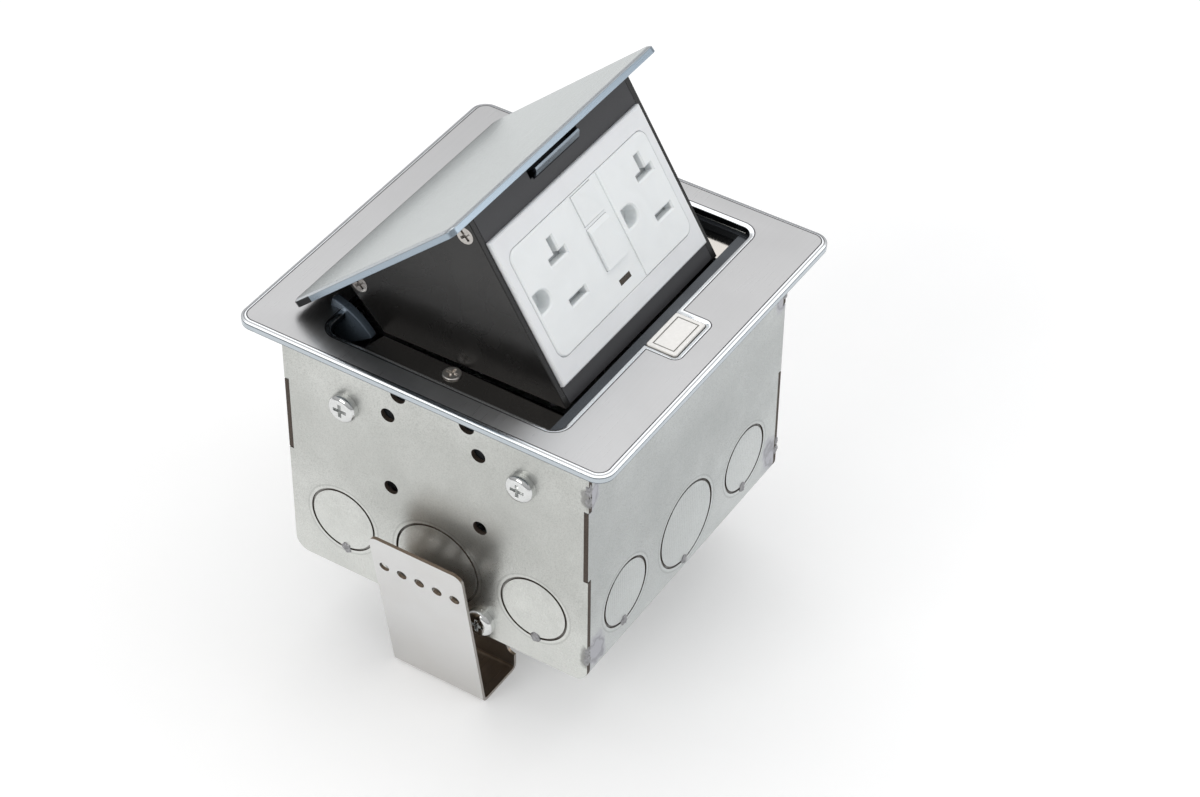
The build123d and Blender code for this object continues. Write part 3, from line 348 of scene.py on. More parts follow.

# %% [markdown]
# The lid is smoother than the flange. Its coordinates are turned flat first, so the lines along its
# edges can be measured as on the flange. Its bevel is painted lighter as a highlight, its sides and
# underside are blue-grey as a painted reflection, and its rear edge is a black strip.

# %% Satin steel of the lid
LID_ANGLE = radians(42.3)
LID_CORNER = 2.5
LID_BEVEL, LID_SIDE_TOP = 0.00105, 0.00054
REAR_LINE, REAR_TIP = 0.0016, 0.008
flat = Matrix.Rotation(LID_ANGLE, 3, "X")
lid_points = [flat @ vertex.co for vertex in frame["nodes"]["lid_plate"].data.vertices]
lid_low = Vector(min(point[axis] for point in lid_points) for axis in range(3))
lid_high = Vector(max(point[axis] for point in lid_points) for axis in range(3))

lid_steel, tree, shader, where = start_material("lid steel", (0.54, 0.56, 0.555), 1.0, 0.3)
turned = tree.nodes.new("ShaderNodeMapping")
tree.links.new(where, turned.inputs["Vector"])
turned.inputs["Rotation"].default_value = (LID_ANGLE, 0, 0)
laid = turned.outputs[0]
brushed = use_group(tree, grain, laid)
lid_half = (lid_high - lid_low) * 500
lid_middle = (lid_high + lid_low) * 500
lid_edge = edge_distance(tree, laid, lid_half.x, lid_half.y, lid_middle.y, LID_CORNER)
parts = tree.nodes.new("ShaderNodeSeparateXYZ")
tree.links.new(laid, parts.inputs[0])
depth = maths(tree, "SUBTRACT", lid_high.z, parts.outputs["Z"])
side = maths(tree, "GREATER_THAN", depth, LID_SIDE_TOP)
rear_line = maths(tree, "GREATER_THAN", parts.outputs["Y"], lid_high.y - REAR_LINE)
rear_tip = maths(tree, "MULTIPLY", maths(tree, "GREATER_THAN", depth, 0.0004),
                 maths(tree, "GREATER_THAN", parts.outputs["Y"], lid_high.y - REAR_TIP))
rear = either(tree, rear_line, rear_tip)
bevel = maths(tree, "GREATER_THAN", lid_edge, -LID_BEVEL)
dark_line = either(tree, band(tree, lid_edge, -LID_BEVEL - 0.00025, -LID_BEVEL),
                   band(tree, depth, 0.00046, 0.00066))
tone = mix_colours(tree, brushed.outputs["Tone"], (0.41, 0.448, 0.445), (0.425, 0.463, 0.459))
# Painted highlight on the bevel, and a blue-grey painted reflection on the sides and underside.
tone = mix_colours(tree, bevel, tone, (0.60, 0.64, 0.67))
tone = mix_colours(tree, side, tone, (0.33, 0.395, 0.455))
tone = mix_colours(tree, maths(tree, "MULTIPLY", dark_line, 0.6), tone, (0.25, 0.28, 0.30))
tree.links.new(mix_colours(tree, rear, tone, (0.035, 0.036, 0.038)), shader.inputs["Base Color"])
rough = maths(tree, "ADD", maths(tree, "MULTIPLY", brushed.outputs["Tone"], 0.03), 0.265)
tree.links.new(rough, shader.inputs["Roughness"])
shader.inputs["Coat Weight"].default_value = 0.25
shader.inputs["Coat Roughness"].default_value = 0.12
bump(tree, shader, brushed.outputs["Height"], 0.02, 0.00004)
print("lid", [round(value * 2, 1) for value in lid_half[:2]], "mm")

# %% [markdown]
# The case is galvanised sheet. Its zinc is warm grey and matt, with pores, clouds and pale patches.
# One signed distance, to the nearest knockout's ring, draws the dark groove, which is partly bare steel and
# partly painted shade, a painted highlight round it for a raised lip, a faint painted shade ring beyond
# that, and the press marks on the slug.

# %% Knockout rings
KNOCKOUT_PITCH, SMALL_RADIUS, LARGE_RADIUS = 32.7, 11.1, 14.1
KNOCKOUTS = ((-KNOCKOUT_PITCH, SMALL_RADIUS), (0.0, LARGE_RADIUS), (KNOCKOUT_PITCH, SMALL_RADIUS))
KNOCKOUT_LEVEL = FLANGE_TOP - 69.0
GROOVE, LIP_HIGHLIGHT = 0.0007, 0.0007


def ring_distance(tree, where, along):
    """Distance from the nearest knockout ring of a wall, in metres: below zero on the slug."""
    parts = tree.nodes.new("ShaderNodeSeparateXYZ")
    tree.links.new(where, parts.inputs[0])
    up = maths(tree, "POWER", maths(tree, "SUBTRACT", parts.outputs["Z"], KNOCKOUT_LEVEL / 1000), 2.0)
    nearest = None
    for middle, radius in KNOCKOUTS:
        across = maths(tree, "POWER", maths(tree, "SUBTRACT", parts.outputs[along], middle / 1000), 2.0)
        apart = maths(tree, "SUBTRACT", maths(tree, "SQRT", maths(tree, "ADD", across, up)), radius / 1000)
        nearest = apart if nearest is None else maths(tree, "MINIMUM", nearest, apart)
    return nearest


print("knockouts on each wall:", len(KNOCKOUTS), "at height", KNOCKOUT_LEVEL, "mm")

# %% [markdown]
# Each front corner of the case is welded above and below the tab. The heat left grey-lilac patches with a
# darker rim on the front wall, and sooty ones on the end plates. Taking the absolute X puts the same patch
# at both front corners, and noise from the real place gives each one its own outline.

# %% Node group: weld patch
patch, entry, result = start_group(
    "Weld patch",
    [("Vector", "NodeSocketVector", None), ("Place", "NodeSocketVector", (0.05, 0.05, 0.1)),
     ("Size", "NodeSocketVector", (0.005, 0.005, 0.008))],
    [("Mask", "NodeSocketFloat"), ("Rim", "NodeSocketFloat")])
split = patch.nodes.new("ShaderNodeSeparateXYZ")
patch.links.new(entry.outputs["Vector"], split.inputs[0])
mirrored = patch.nodes.new("ShaderNodeCombineXYZ")
patch.links.new(maths(patch, "ABSOLUTE", split.outputs["X"]), mirrored.inputs["X"])
patch.links.new(split.outputs["Y"], mirrored.inputs["Y"])
patch.links.new(split.outputs["Z"], mirrored.inputs["Z"])
offset = patch.nodes.new("ShaderNodeVectorMath")
offset.operation = "SUBTRACT"
patch.links.new(mirrored.outputs[0], offset.inputs[0])
patch.links.new(entry.outputs["Place"], offset.inputs[1])
scaled = patch.nodes.new("ShaderNodeVectorMath")
scaled.operation = "DIVIDE"
patch.links.new(offset.outputs[0], scaled.inputs[0])
patch.links.new(entry.outputs["Size"], scaled.inputs[1])
reach = patch.nodes.new("ShaderNodeVectorMath")
reach.operation = "LENGTH"
patch.links.new(scaled.outputs[0], reach.inputs[0])
ragged = maths(patch, "ADD", reach.outputs["Value"],
               spread(patch, noise(patch, entry.outputs["Vector"], 190.0, 3.0, 0.5), 0.3, 0.7, -0.38, 0.38))
patch.links.new(spread(patch, ragged, 0.6, 1.0, 0.85, 0.0), result.inputs["Mask"])
rim = maths(patch, "MULTIPLY", spread(patch, ragged, 0.35, 0.5),
            spread(patch, ragged, 0.5, 0.68, 0.7, 0.0))
patch.links.new(rim, result.inputs["Rim"])
print("made", patch.name)

# %% [markdown]
# The zinc of the case joins all of these. Painted shade makes it a little darker at half height, and
# painted light from the white table makes it paler at the foot. Sheet that was cut after coating has bare
# brown edges. The cut faces of the wrap point along X and those of the end plates along Y and Z, so the
# normal finds them.

# %% Galvanised steel of the case
def toned(colour, factor):
    """A colour made lighter or darker, and never past white."""
    return tuple(min(1.0, value * factor) for value in colour)


def galvanised(name, along, light, dark, patches):
    """Zinc-coated sheet with knockout rings, weld patches and bare brown cut edges."""
    material, tree, shader, where = start_material(name, light, 0.92, 0.4)
    skin = use_group(tree, zinc, where)
    smudged = use_group(tree, smears, where, Scale=18.0)
    colour = mix_colours(tree, skin.outputs["Cloud"], dark, light)
    pores = spread(tree, skin.outputs["Speckle"], 0.35, 1.0, 0.0, 0.6)
    colour = mix_colours(tree, pores, colour, toned(dark, 0.66))
    pale = spread(tree, noise(tree, where, 95.0, 4.0), 0.55, 0.75, 0.0, 0.3)
    colour = mix_colours(tree, pale, colour, toned(light, 1.15))
    height = tree.nodes.new("ShaderNodeSeparateXYZ")
    tree.links.new(where, height.inputs[0])
    # Painted shade darkens the zinc at half height, and painted light makes it paler at the foot.
    painted_waist_shade = maths(tree, "MULTIPLY", spread(tree, height.outputs["Z"], 0.055, 0.072),
                  spread(tree, height.outputs["Z"], 0.085, 0.105, 1.0, 0.0))
    colour = mix_colours(tree, maths(tree, "MULTIPLY", painted_waist_shade, 0.45), colour, toned(dark, 0.88))
    painted_foot_light = spread(tree, height.outputs["Z"], 0.035, 0.06, 0.5, 0.0)
    colour = mix_colours(tree, painted_foot_light, colour, toned(light, 1.18))
    ring = ring_distance(tree, where, along)
    slug = maths(tree, "LESS_THAN", ring, -GROOVE)
    marks = tree.nodes.new("ShaderNodeTexWave")
    marks.inputs["Scale"].default_value = 310.0
    marks.inputs["Distortion"].default_value = 1.5
    tree.links.new(where, marks.inputs["Vector"])
    lines = maths(tree, "ADD", maths(tree, "MULTIPLY", marks.outputs["Fac"], 0.35), 0.1)
    colour = mix_colours(tree, maths(tree, "MULTIPLY", lines, slug), colour, toned(light, 1.2))
    uneven = spread(tree, noise(tree, where, 120.0, 2.0), 0.35, 0.65, 0.35, 1.0)
    # Painted highlight just outside the groove, and a faint painted shade ring beyond it.
    painted_lip_highlight = maths(tree, "MULTIPLY", band(tree, ring, 0.0001, LIP_HIGHLIGHT), maths(tree, "MULTIPLY", uneven, 0.35))
    colour = mix_colours(tree, painted_lip_highlight, colour, toned(light, 1.25))
    painted_halo_shade = maths(tree, "MULTIPLY", band(tree, ring, 0.0009, 0.0014), 0.3)
    colour = mix_colours(tree, painted_halo_shade, colour, toned(dark, 0.6))
    matt = smudged.outputs["Mask"]
    for place, size, tint, rim in patches:
        weld = use_group(tree, patch, where, Place=mm(*place), Size=mm(*size))
        colour = mix_colours(tree, weld.outputs["Mask"], colour, tint)
        colour = mix_colours(tree, weld.outputs["Rim"], colour, rim)
        matt = either(tree, matt, weld.outputs["Mask"])
    facing = tree.nodes.new("ShaderNodeSeparateXYZ")
    tree.links.new(tree.nodes["Texture Coordinate"].outputs["Normal"], facing.inputs[0])
    sideways = maths(tree, "ABSOLUTE", facing.outputs["X"])
    cut = spread(tree, sideways, 0.5, 0.6, 1.0, 0.0) if along == "Y" else spread(tree, sideways, 0.5, 0.6)
    # The groove takes the brown of bare steel at the cut, and its darkness is partly painted shade.
    groove_rust_and_shade = band(tree, ring, -GROOVE - 0.00002, 0.00002)
    bare_steel_and_shade = either(tree, cut, maths(tree, "MULTIPLY", groove_rust_and_shade, uneven))
    rust_and_shade_colour = mix_colours(tree, skin.outputs["Speckle"], (0.03, 0.021, 0.016), (0.09, 0.066, 0.05))
    colour = mix_colours(tree, bare_steel_and_shade, colour, rust_and_shade_colour)
    tree.links.new(colour, shader.inputs["Base Color"])
    metal = maths(tree, "SUBTRACT", 0.92, maths(tree, "MULTIPLY", bare_steel_and_shade, 0.75))
    tree.links.new(metal, shader.inputs["Metallic"])
    rough = maths(tree, "ADD", maths(tree, "MULTIPLY", skin.outputs["Speckle"], 0.14),
                  maths(tree, "MULTIPLY", matt, 0.12))
    rough = maths(tree, "ADD", rough, maths(tree, "MULTIPLY", bare_steel_and_shade, 0.35))
    tree.links.new(maths(tree, "ADD", rough, 0.24), shader.inputs["Roughness"])
    bump(tree, shader, skin.outputs["Height"], 0.3, 0.0001)
    return material


LILAC, LILAC_RIM = (0.43, 0.43, 0.47), (0.27, 0.27, 0.29)
SOOT, SOOT_RIM = (0.24, 0.24, 0.235), (0.36, 0.36, 0.35)
# One zinc in two copies: the end plates' lighter colour is painted light, the wrap's darker colour painted
# shade.
wrap_zinc = galvanised(
    "galvanised wrap", "X", (0.545, 0.565, 0.56), (0.445, 0.465, 0.46),
    (((50.2, -50.5, FLANGE_TOP - 19.0), (3.6, 6.0, 6.5), LILAC, LILAC_RIM),
     ((48.5, -50.5, FLANGE_TOP - 79.0), (6.0, 6.0, 7.5), LILAC, LILAC_RIM)))
end_zinc = galvanised(
    "galvanised ends", "Y", (0.65, 0.66, 0.635), (0.53, 0.54, 0.515),
    (((52.4, -50.0, FLANGE_TOP - 17.5), (3.0, 2.4, 4.2), SOOT, SOOT_RIM),
     ((52.4, -50.2, FLANGE_TOP - 79.0), (3.0, 2.4, 4.0), SOOT, SOOT_RIM)))
print("made", wrap_zinc.name, "and", end_zinc.name)

# %% [markdown]
# The housing of the pop-up is folded steel in semi-gloss black paint. It is smooth enough to mirror the
# flange, but not sharply. The two rails are moulded plastic: greyer and with a fine sparkle of texture.

# %% Black paint and black plastic
PAINT, DUST = (0.014, 0.0135, 0.013), (0.085, 0.083, 0.08)
black_paint, tree, shader, where = start_material("black paint", PAINT, 0.0, 0.3)
smudged = use_group(tree, smears, where, Scale=50.0)
orange_peel = noise(tree, where, 1400.0, 2.0)
rough = maths(tree, "ADD", maths(tree, "MULTIPLY", smudged.outputs["Mask"], 0.1), 0.22)
tree.links.new(rough, shader.inputs["Roughness"])
dust = spread(tree, noise(tree, where, 5200.0, 1.0), 0.66, 0.8, 0.0, 0.35)
tree.links.new(mix_colours(tree, dust, PAINT, DUST), shader.inputs["Base Color"])
shader.inputs["Specular IOR Level"].default_value = 0.42
bump(tree, shader, orange_peel, 0.12, 0.00008)

black_plastic, tree, shader, where = start_material("black plastic", (0.045, 0.045, 0.048), 0.0, 0.42)
texture = noise(tree, where, 3200.0, 2.0)
sparkle = mix_colours(tree, texture, (0.026, 0.026, 0.029), (0.048, 0.048, 0.052))
tree.links.new(sparkle, shader.inputs["Base Color"])
tree.links.new(spread(tree, texture, 0.3, 0.7, 0.36, 0.5), shader.inputs["Roughness"])
bump(tree, shader, texture, 0.25, 0.00006)
print("made", black_paint.name, "and", black_plastic.name)

# %% [markdown]
# White moulded plastic: the surround, the outlet, its buttons and the shutters behind the slots. Light
# enters it a little, so edges glow softly, and a small amount of subsurface scattering gives that.

# %% White plastics
def white_plastic(name, colour, roughness):
    """Moulded white plastic with a fine matt skin."""
    material, tree, shader, where = start_material(name, colour, 0.0, roughness)
    skin = noise(tree, where, 4200.0, 2.0)
    smudged = use_group(tree, smears, where, Scale=70.0)
    shade = toned(colour, 0.965)
    tree.links.new(mix_colours(tree, smudged.outputs["Mask"], colour, shade), shader.inputs["Base Color"])
    rough = spread(tree, skin, 0.3, 0.7, roughness - 0.04, roughness + 0.06)
    tree.links.new(rough, shader.inputs["Roughness"])
    shader.inputs["Subsurface Weight"].default_value = 0.12
    shader.inputs["Subsurface Scale"].default_value = 0.0008
    shader.inputs["Subsurface Radius"].default_value = (1.0, 0.9, 0.8)
    bump(tree, shader, skin, 0.08, 0.00004)
    return material


surround_white = white_plastic("surround white", (0.835, 0.85, 0.865), 0.34)
outlet_white = white_plastic("outlet white", (0.88, 0.905, 0.91), 0.38)
press_white = white_plastic("button white", (0.87, 0.895, 0.90), 0.33)
shutter_grey = white_plastic("shutter grey", (0.50, 0.52, 0.53), 0.45)
print("made", [white.name for white in (surround_white, outlet_white, press_white, shutter_grey)])

# %% [markdown]
# The smaller metal finishes are one ledge steel in two copies, with a cream painted reflection on the right
# and a dark painted reflection on the left, zinc and bare steel for the screws, the side screws darkened as
# painted shade, grey-blue lacquer on the frame and the cheeks, the latch tongue darkened as painted shade,
# and brass at the terminals. They differ only in colour and gloss, so one function makes them all, and a
# soft cloud keeps each from looking flat.

# %% Other metals
def plain_metal(name, light, dark, roughness, scale=900.0, depth=0.00003, metallic=1.0):
    """Metal with a slight cloud in its colour and gloss."""
    material, tree, shader, where = start_material(name, light, metallic, roughness)
    cloudy = noise(tree, where, scale, 3.0)
    tree.links.new(mix_colours(tree, cloudy, light, dark), shader.inputs["Base Color"])
    rough = spread(tree, cloudy, 0.3, 0.7, roughness * 0.85, roughness * 1.2)
    tree.links.new(rough, shader.inputs["Roughness"])
    bump(tree, shader, cloudy, 0.1, depth)
    return material


# Scale of the cloud for smooth sheet, and for the small screws
SHEET_CLOUD, SCREW_CLOUD = 60.0, 1600.0
FLAT_DEPTH = 0.00001
# One ledge steel in two copies: a cream painted reflection on the right ledge, a dark painted reflection on
# the left.
ledge_painted_bright = plain_metal(
    "ledge steel painted bright", (0.62, 0.59, 0.555), (0.55, 0.52, 0.485), 0.1, SHEET_CLOUD, FLAT_DEPTH)
ledge_painted_dark = plain_metal(
    "ledge steel painted dark", (0.23, 0.22, 0.21), (0.19, 0.18, 0.17), 0.08, SHEET_CLOUD, FLAT_DEPTH)
screw_zinc = plain_metal("screw zinc", (0.78, 0.79, 0.79), (0.60, 0.61, 0.60), 0.13, SCREW_CLOUD)
bright_screw = plain_metal("bright screw", (0.86, 0.83, 0.79), (0.62, 0.58, 0.54), 0.34, SCREW_CLOUD)
# Painted shade: the side screws are a darker copy of the screw steel.
side_screw = plain_metal("side screw painted shade", (0.58, 0.56, 0.54), (0.34, 0.32, 0.30), 0.16, SCREW_CLOUD)
frame_lacquer = plain_metal(
    "frame lacquer", (0.075, 0.083, 0.092), (0.055, 0.06, 0.068), 0.2, 160.0, FLAT_DEPTH, 0.7)
cheek_lacquer = plain_metal(
    "cheek lacquer", (0.13, 0.165, 0.205), (0.09, 0.115, 0.145), 0.26, 160.0, FLAT_DEPTH, 0.35)
arm_steel = plain_metal("arm steel", (0.45, 0.45, 0.46), (0.34, 0.34, 0.35), 0.38)
# Painted shade: the tongue's steel is darkened for the recess it sits in.
tongue_painted_shade = plain_metal("tongue steel painted shade", (0.25, 0.285, 0.32), (0.18, 0.21, 0.24), 0.24, 200.0)
terminal_brass = plain_metal("terminal brass", (0.80, 0.62, 0.30), (0.66, 0.48, 0.20), 0.25)
weld_grey = plain_metal("weld grey", (0.44, 0.44, 0.45), (0.15, 0.15, 0.155), 0.3, 1100.0, 0.0002, 0.9)
print("materials so far:", len(bpy.data.materials))

# %% [markdown]
# The release button is pale nickel. Its engraved outline and a thin band round its edge are darker.

# %% Nickel of the button
NICKEL, WORN_NICKEL, DARKER_LINES = (0.86, 0.845, 0.82), (0.78, 0.765, 0.74), (0.22, 0.21, 0.19)
BUTTON_HALF_X, BUTTON_HALF_Y, BUTTON_MIDDLE, BUTTON_CORNER = 8.1, 4.9, -44.9, 0.8
GROOVE_INSET = 1.5

button_nickel, tree, shader, where = start_material("button nickel", NICKEL, 0.55, 0.34)
cloudy = noise(tree, where, 1200.0, 3.0)
engraved = edge_distance(tree, where, BUTTON_HALF_X - GROOVE_INSET, BUTTON_HALF_Y - GROOVE_INSET,
                         BUTTON_MIDDLE, 0.0)
border = edge_distance(tree, where, BUTTON_HALF_X, BUTTON_HALF_Y, BUTTON_MIDDLE, BUTTON_CORNER)
darker_lines = either(tree, maths(tree, "MULTIPLY", band(tree, engraved, -0.0003, 0.0001), 0.75),
               spread(tree, border, -0.00035, 0.0, 0.0, 0.8))
skin = mix_colours(tree, cloudy, NICKEL, WORN_NICKEL)
tree.links.new(mix_colours(tree, darker_lines, skin, DARKER_LINES), shader.inputs["Base Color"])
tree.links.new(spread(tree, cloudy, 0.3, 0.7, 0.29, 0.41), shader.inputs["Roughness"])
bump(tree, shader, cloudy, 0.1, 0.00005)
print("made", button_nickel.name)

# %% [markdown]
# The clips are spring steel: satin outside, and dark brown inside the fold. A face is inside when its
# normal points back towards the middle of the case. Towards the floor the satin is darker, which is painted
# shade.

# %% Spring steel of the clips
clip_steel, tree, shader, where = start_material("clip steel", (0.70, 0.70, 0.70), 1.0, 0.32)
brushed = use_group(tree, grain, where)
facing = tree.nodes.new("ShaderNodeSeparateXYZ")
tree.links.new(tree.nodes["Texture Coordinate"].outputs["Normal"], facing.inputs[0])
parts = tree.nodes.new("ShaderNodeSeparateXYZ")
tree.links.new(where, parts.inputs[0])
inward = maths(tree, "MULTIPLY", facing.outputs["X"], parts.outputs["X"])
inner = either(tree, spread(tree, inward, -0.02, -0.012, 1.0, 0.0),
               spread(tree, facing.outputs["Z"], 0.4, 0.6))
edgewise = spread(tree, maths(tree, "ABSOLUTE", facing.outputs["Y"]), 0.6, 0.8)
heat = spread(tree, noise(tree, where, 70.0, 3.0), 0.45, 0.75, 0.0, 0.25)
satin = mix_colours(tree, heat, (0.72, 0.72, 0.715), (0.63, 0.605, 0.575))
# Painted shade: the satin is darker towards the floor.
painted_floor_shade = spread(tree, parts.outputs["Z"], 0.0, 0.03, 0.5, 0.0)
satin = mix_colours(tree, painted_floor_shade, satin, (0.46, 0.445, 0.42))
satin = mix_colours(tree, maths(tree, "MULTIPLY", edgewise, 0.6), satin, (0.24, 0.20, 0.17))
inside_brown = mix_colours(tree, brushed.outputs["Tone"], (0.27, 0.21, 0.16), (0.35, 0.275, 0.215))
tree.links.new(mix_colours(tree, inner, satin, inside_brown), shader.inputs["Base Color"])
tree.links.new(spread(tree, brushed.outputs["Tone"], 0.0, 1.0, 0.26, 0.36), shader.inputs["Roughness"])
bump(tree, shader, brushed.outputs["Height"], 0.08, 0.00003)
print("made", clip_steel.name)

# %% [markdown]
# The indicator's window is a clear brown lens over a dark hole, and it stays dark in daylight.

# %% Indicator window
window_brown, tree, shader, where = start_material("window brown", (0.05, 0.035, 0.02), 0.0, 0.2)
cloudy = noise(tree, where, 900.0, 2.0)
lens = mix_colours(tree, cloudy, (0.06, 0.04, 0.02), (0.02, 0.014, 0.008))
tree.links.new(lens, shader.inputs["Base Color"])
shader.inputs["Coat Weight"].default_value = 0.6
print("materials:", len(bpy.data.materials))

# %% [markdown]
# CAD edges are perfectly sharp, and real ones never are: a press, a mould or paint rounds each one, and
# that is where light catches. Each visible part gets a copy whose loose triangles are merged, with a
# narrow bevel on its real edges. The copy stands for the CAD node, which stays for the physics. Parts deep
# inside, and those that are only a glimpse behind a slot, keep their CAD mesh and get a finish alone.

# %% Which finish and which edge, in millimetres, each part gets
BODY_OF = {node: body for body, nodes in frame["record"]["behaviour"]["bodies"].items() for node in nodes}
FINISHES = {
    "flange_plate": (flange_steel, 0.12),
    "lid_plate": (lid_steel, 0.15),
    "case_wrap": (wrap_zinc, 0.12),
    "left_end_plate": (end_zinc, 0.14),
    "right_end_plate": (end_zinc, 0.14),
    "case_screws": (screw_zinc, 0.08),
    "lower_screws": (screw_zinc, 0.08),
    "clip_screws": (screw_zinc, 0.08),
    "left_spring_clip": (clip_steel, 0.12),
    "right_spring_clip": (clip_steel, 0.12),
    "inner_frame": (frame_lacquer, 0.18),
    "left_ledge": (ledge_painted_dark, 0.12),
    "right_ledge": (ledge_painted_bright, 0.12),
    "ledge_screws": (bright_screw, 0.06),
    "left_side_plate": (black_paint, 0.4),
    "right_side_plate": (black_paint, 0.4),
    "lid_bracket": (black_paint, 0.2),
    "top_rail": (black_plastic, 0.2),
    "bottom_rail": (black_plastic, 0.2),
    "socket_surround": (surround_white, 0.15),
    "receptacle_face": (outlet_white, 0.12),
    "test_button": (press_white, 0.15),
    "reset_button": (press_white, 0.15),
    "latch_button": (button_nickel, 0.08),
    "latch_tongue": (tongue_painted_shade, 0.1),
    "side_screws": (side_screw, 0.05),
    "receptacle_body": (outlet_white, 0.3),
}
PLAIN = {
    "hinge_pins": arm_steel,
    "left_hinge_arm": arm_steel,
    "right_hinge_arm": arm_steel,
    "lift_springs": screw_zinc,
    "mounting_strap": screw_zinc,
    "strap_screws": screw_zinc,
    "terminal_screws": terminal_brass,
    "indicator_window": window_brown,
    "left_shutter": shutter_grey,
    "right_shutter": shutter_grey,
}
print("parts with soft edges:", len(FINISHES), "others:", len(PLAIN))


# %% Give the parts their edges and finishes
def soften(node, material, width):
    """A copy of a CAD node with merged faces, beveled edges and its finish, in the node's place."""
    source = frame["nodes"][node]
    piece = bpy.data.objects.new(node + "_finished", source.data.copy())
    bpy.context.scene.collection.objects.link(piece)
    piece.data.materials.clear()
    piece.data.materials.append(material)
    pick(piece)
    bpy.ops.object.mode_set(mode="EDIT")
    bpy.ops.mesh.select_all(action="SELECT")
    bpy.ops.mesh.remove_doubles(threshold=1e-6)
    bpy.ops.mesh.dissolve_limited(angle_limit=radians(0.5))
    bpy.ops.object.mode_set(mode="OBJECT")
    bpy.ops.object.shade_smooth_by_angle(angle=radians(35))
    edge = piece.modifiers.new("soft edges", "BEVEL")
    edge.width = width / 1000
    edge.segments = 2
    edge.limit_method = "ANGLE"
    edge.angle_limit = radians(38)
    edge.use_clamp_overlap = True
    edge.harden_normals = True
    bpy.ops.object.modifier_apply(modifier=edge.name)
    flat = piece.modifiers.new("flat faces", "WEIGHTED_NORMAL")
    flat.weight = 100
    flat.keep_sharp = True
    bpy.ops.object.modifier_apply(modifier=flat.name)
    seat(piece, BODY_OF[node])
    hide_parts(node)
    return piece


finished = {}
for node, (material, width) in FINISHES.items():
    finished[node] = soften(node, material, width)
for node, material in PLAIN.items():
    frame["nodes"][node].data.materials.clear()
    frame["nodes"][node].data.materials.append(material)
faces = sum(len(piece.data.polygons) for piece in finished.values())
print("softened:", len(finished), "with", faces, "faces")

# %% [markdown]
# The welds themselves stand proud of the sheet: a small nugget at the foot of each knockout, which holds
# the slug, and ragged beads at the front corners. Each is a ball that is squashed and then roughened by
# noise, since a weld that froze in place has no two lumps alike.

# %% Weld beads
bead_noise = bpy.data.textures.new("bead noise", "CLOUDS")
bead_noise.noise_scale = 0.0011
HALF_WIDTH, HALF_LENGTH = 52.45, 50.5


def bead(point, size):
    """One squashed, roughened ball of weld metal."""
    bpy.ops.object.select_all(action="DESELECT")
    bpy.ops.mesh.primitive_ico_sphere_add(subdivisions=4, radius=1, location=mm(*point))
    ball = bpy.context.object
    ball.scale = mm(*size)
    bpy.ops.object.transform_apply(location=True, rotation=True, scale=True)
    lumps = ball.modifiers.new("lumps", "DISPLACE")
    lumps.texture = bead_noise
    lumps.texture_coords = "GLOBAL"
    lumps.strength = 0.0009
    bpy.ops.object.modifier_apply(modifier=lumps.name)
    bpy.ops.object.shade_smooth()
    return ball


def weld_group(name, beads):
    """Beads joined into one piece of the case."""
    balls = [bead(point, size) for point, size in beads]
    pick(balls[0])
    for ball in balls:
        ball.select_set(True)
    bpy.ops.object.join()
    piece = bpy.context.object
    piece.name = name
    piece.data.materials.append(weld_grey)
    return seat(piece, "case")


for side_name, sign in (("left", -1), ("right", 1)):
    weld_group(side_name + "_slug_welds", [
        ((sign * HALF_WIDTH, middle - 0.6, KNOCKOUT_LEVEL - radius + 0.3), (0.55, 1.5, 1.7))
        for middle, radius in KNOCKOUTS])
for side_name, sign in (("front", -1), ("rear", 1)):
    weld_group(side_name + "_slug_welds", [
        ((middle - 0.6, sign * HALF_LENGTH, KNOCKOUT_LEVEL - radius + 0.3), (1.5, 0.55, 1.7))
        for middle, radius in KNOCKOUTS])
CORNER_BEADS = ((-15.0, (0.9, 0.8, 2.4)), (-19.5, (0.8, 0.9, 2.2)),
                (-76.5, (0.8, 0.8, 2.0)), (-80.0, (1.1, 0.9, 1.8)))
weld_group("corner_welds", [
    ((across * (HALF_WIDTH - 0.6), 0.4 - HALF_LENGTH, FLANGE_TOP + z), size)
    for across in (-1, 1) for z, size in CORNER_BEADS])
print("beads:", 4 * len(KNOCKOUTS), "on the knockouts,", 2 * len(CORNER_BEADS), "at the corners")

# %% [markdown]
# At the foot of each side plate a cheek reaches back round the hinge. It is a slice of a ring, centred on
# the hinge, so it swings clear of the ledge. A flat rectangle is turned to where the slice starts and then
# spun about the hinge, which sweeps the slice in one step.

# %% Hinge cheeks
HINGE_Y, HINGE_Z = 45.0, FLANGE_TOP - 17.8
CHEEK_HUB, CHEEK_RIM = 9.0, 21.0
CHEEK_INSIDE, CHEEK_OUTSIDE = 38.9, 41.6
CHEEK_START, CHEEK_SWEEP = 102.0, 44.0


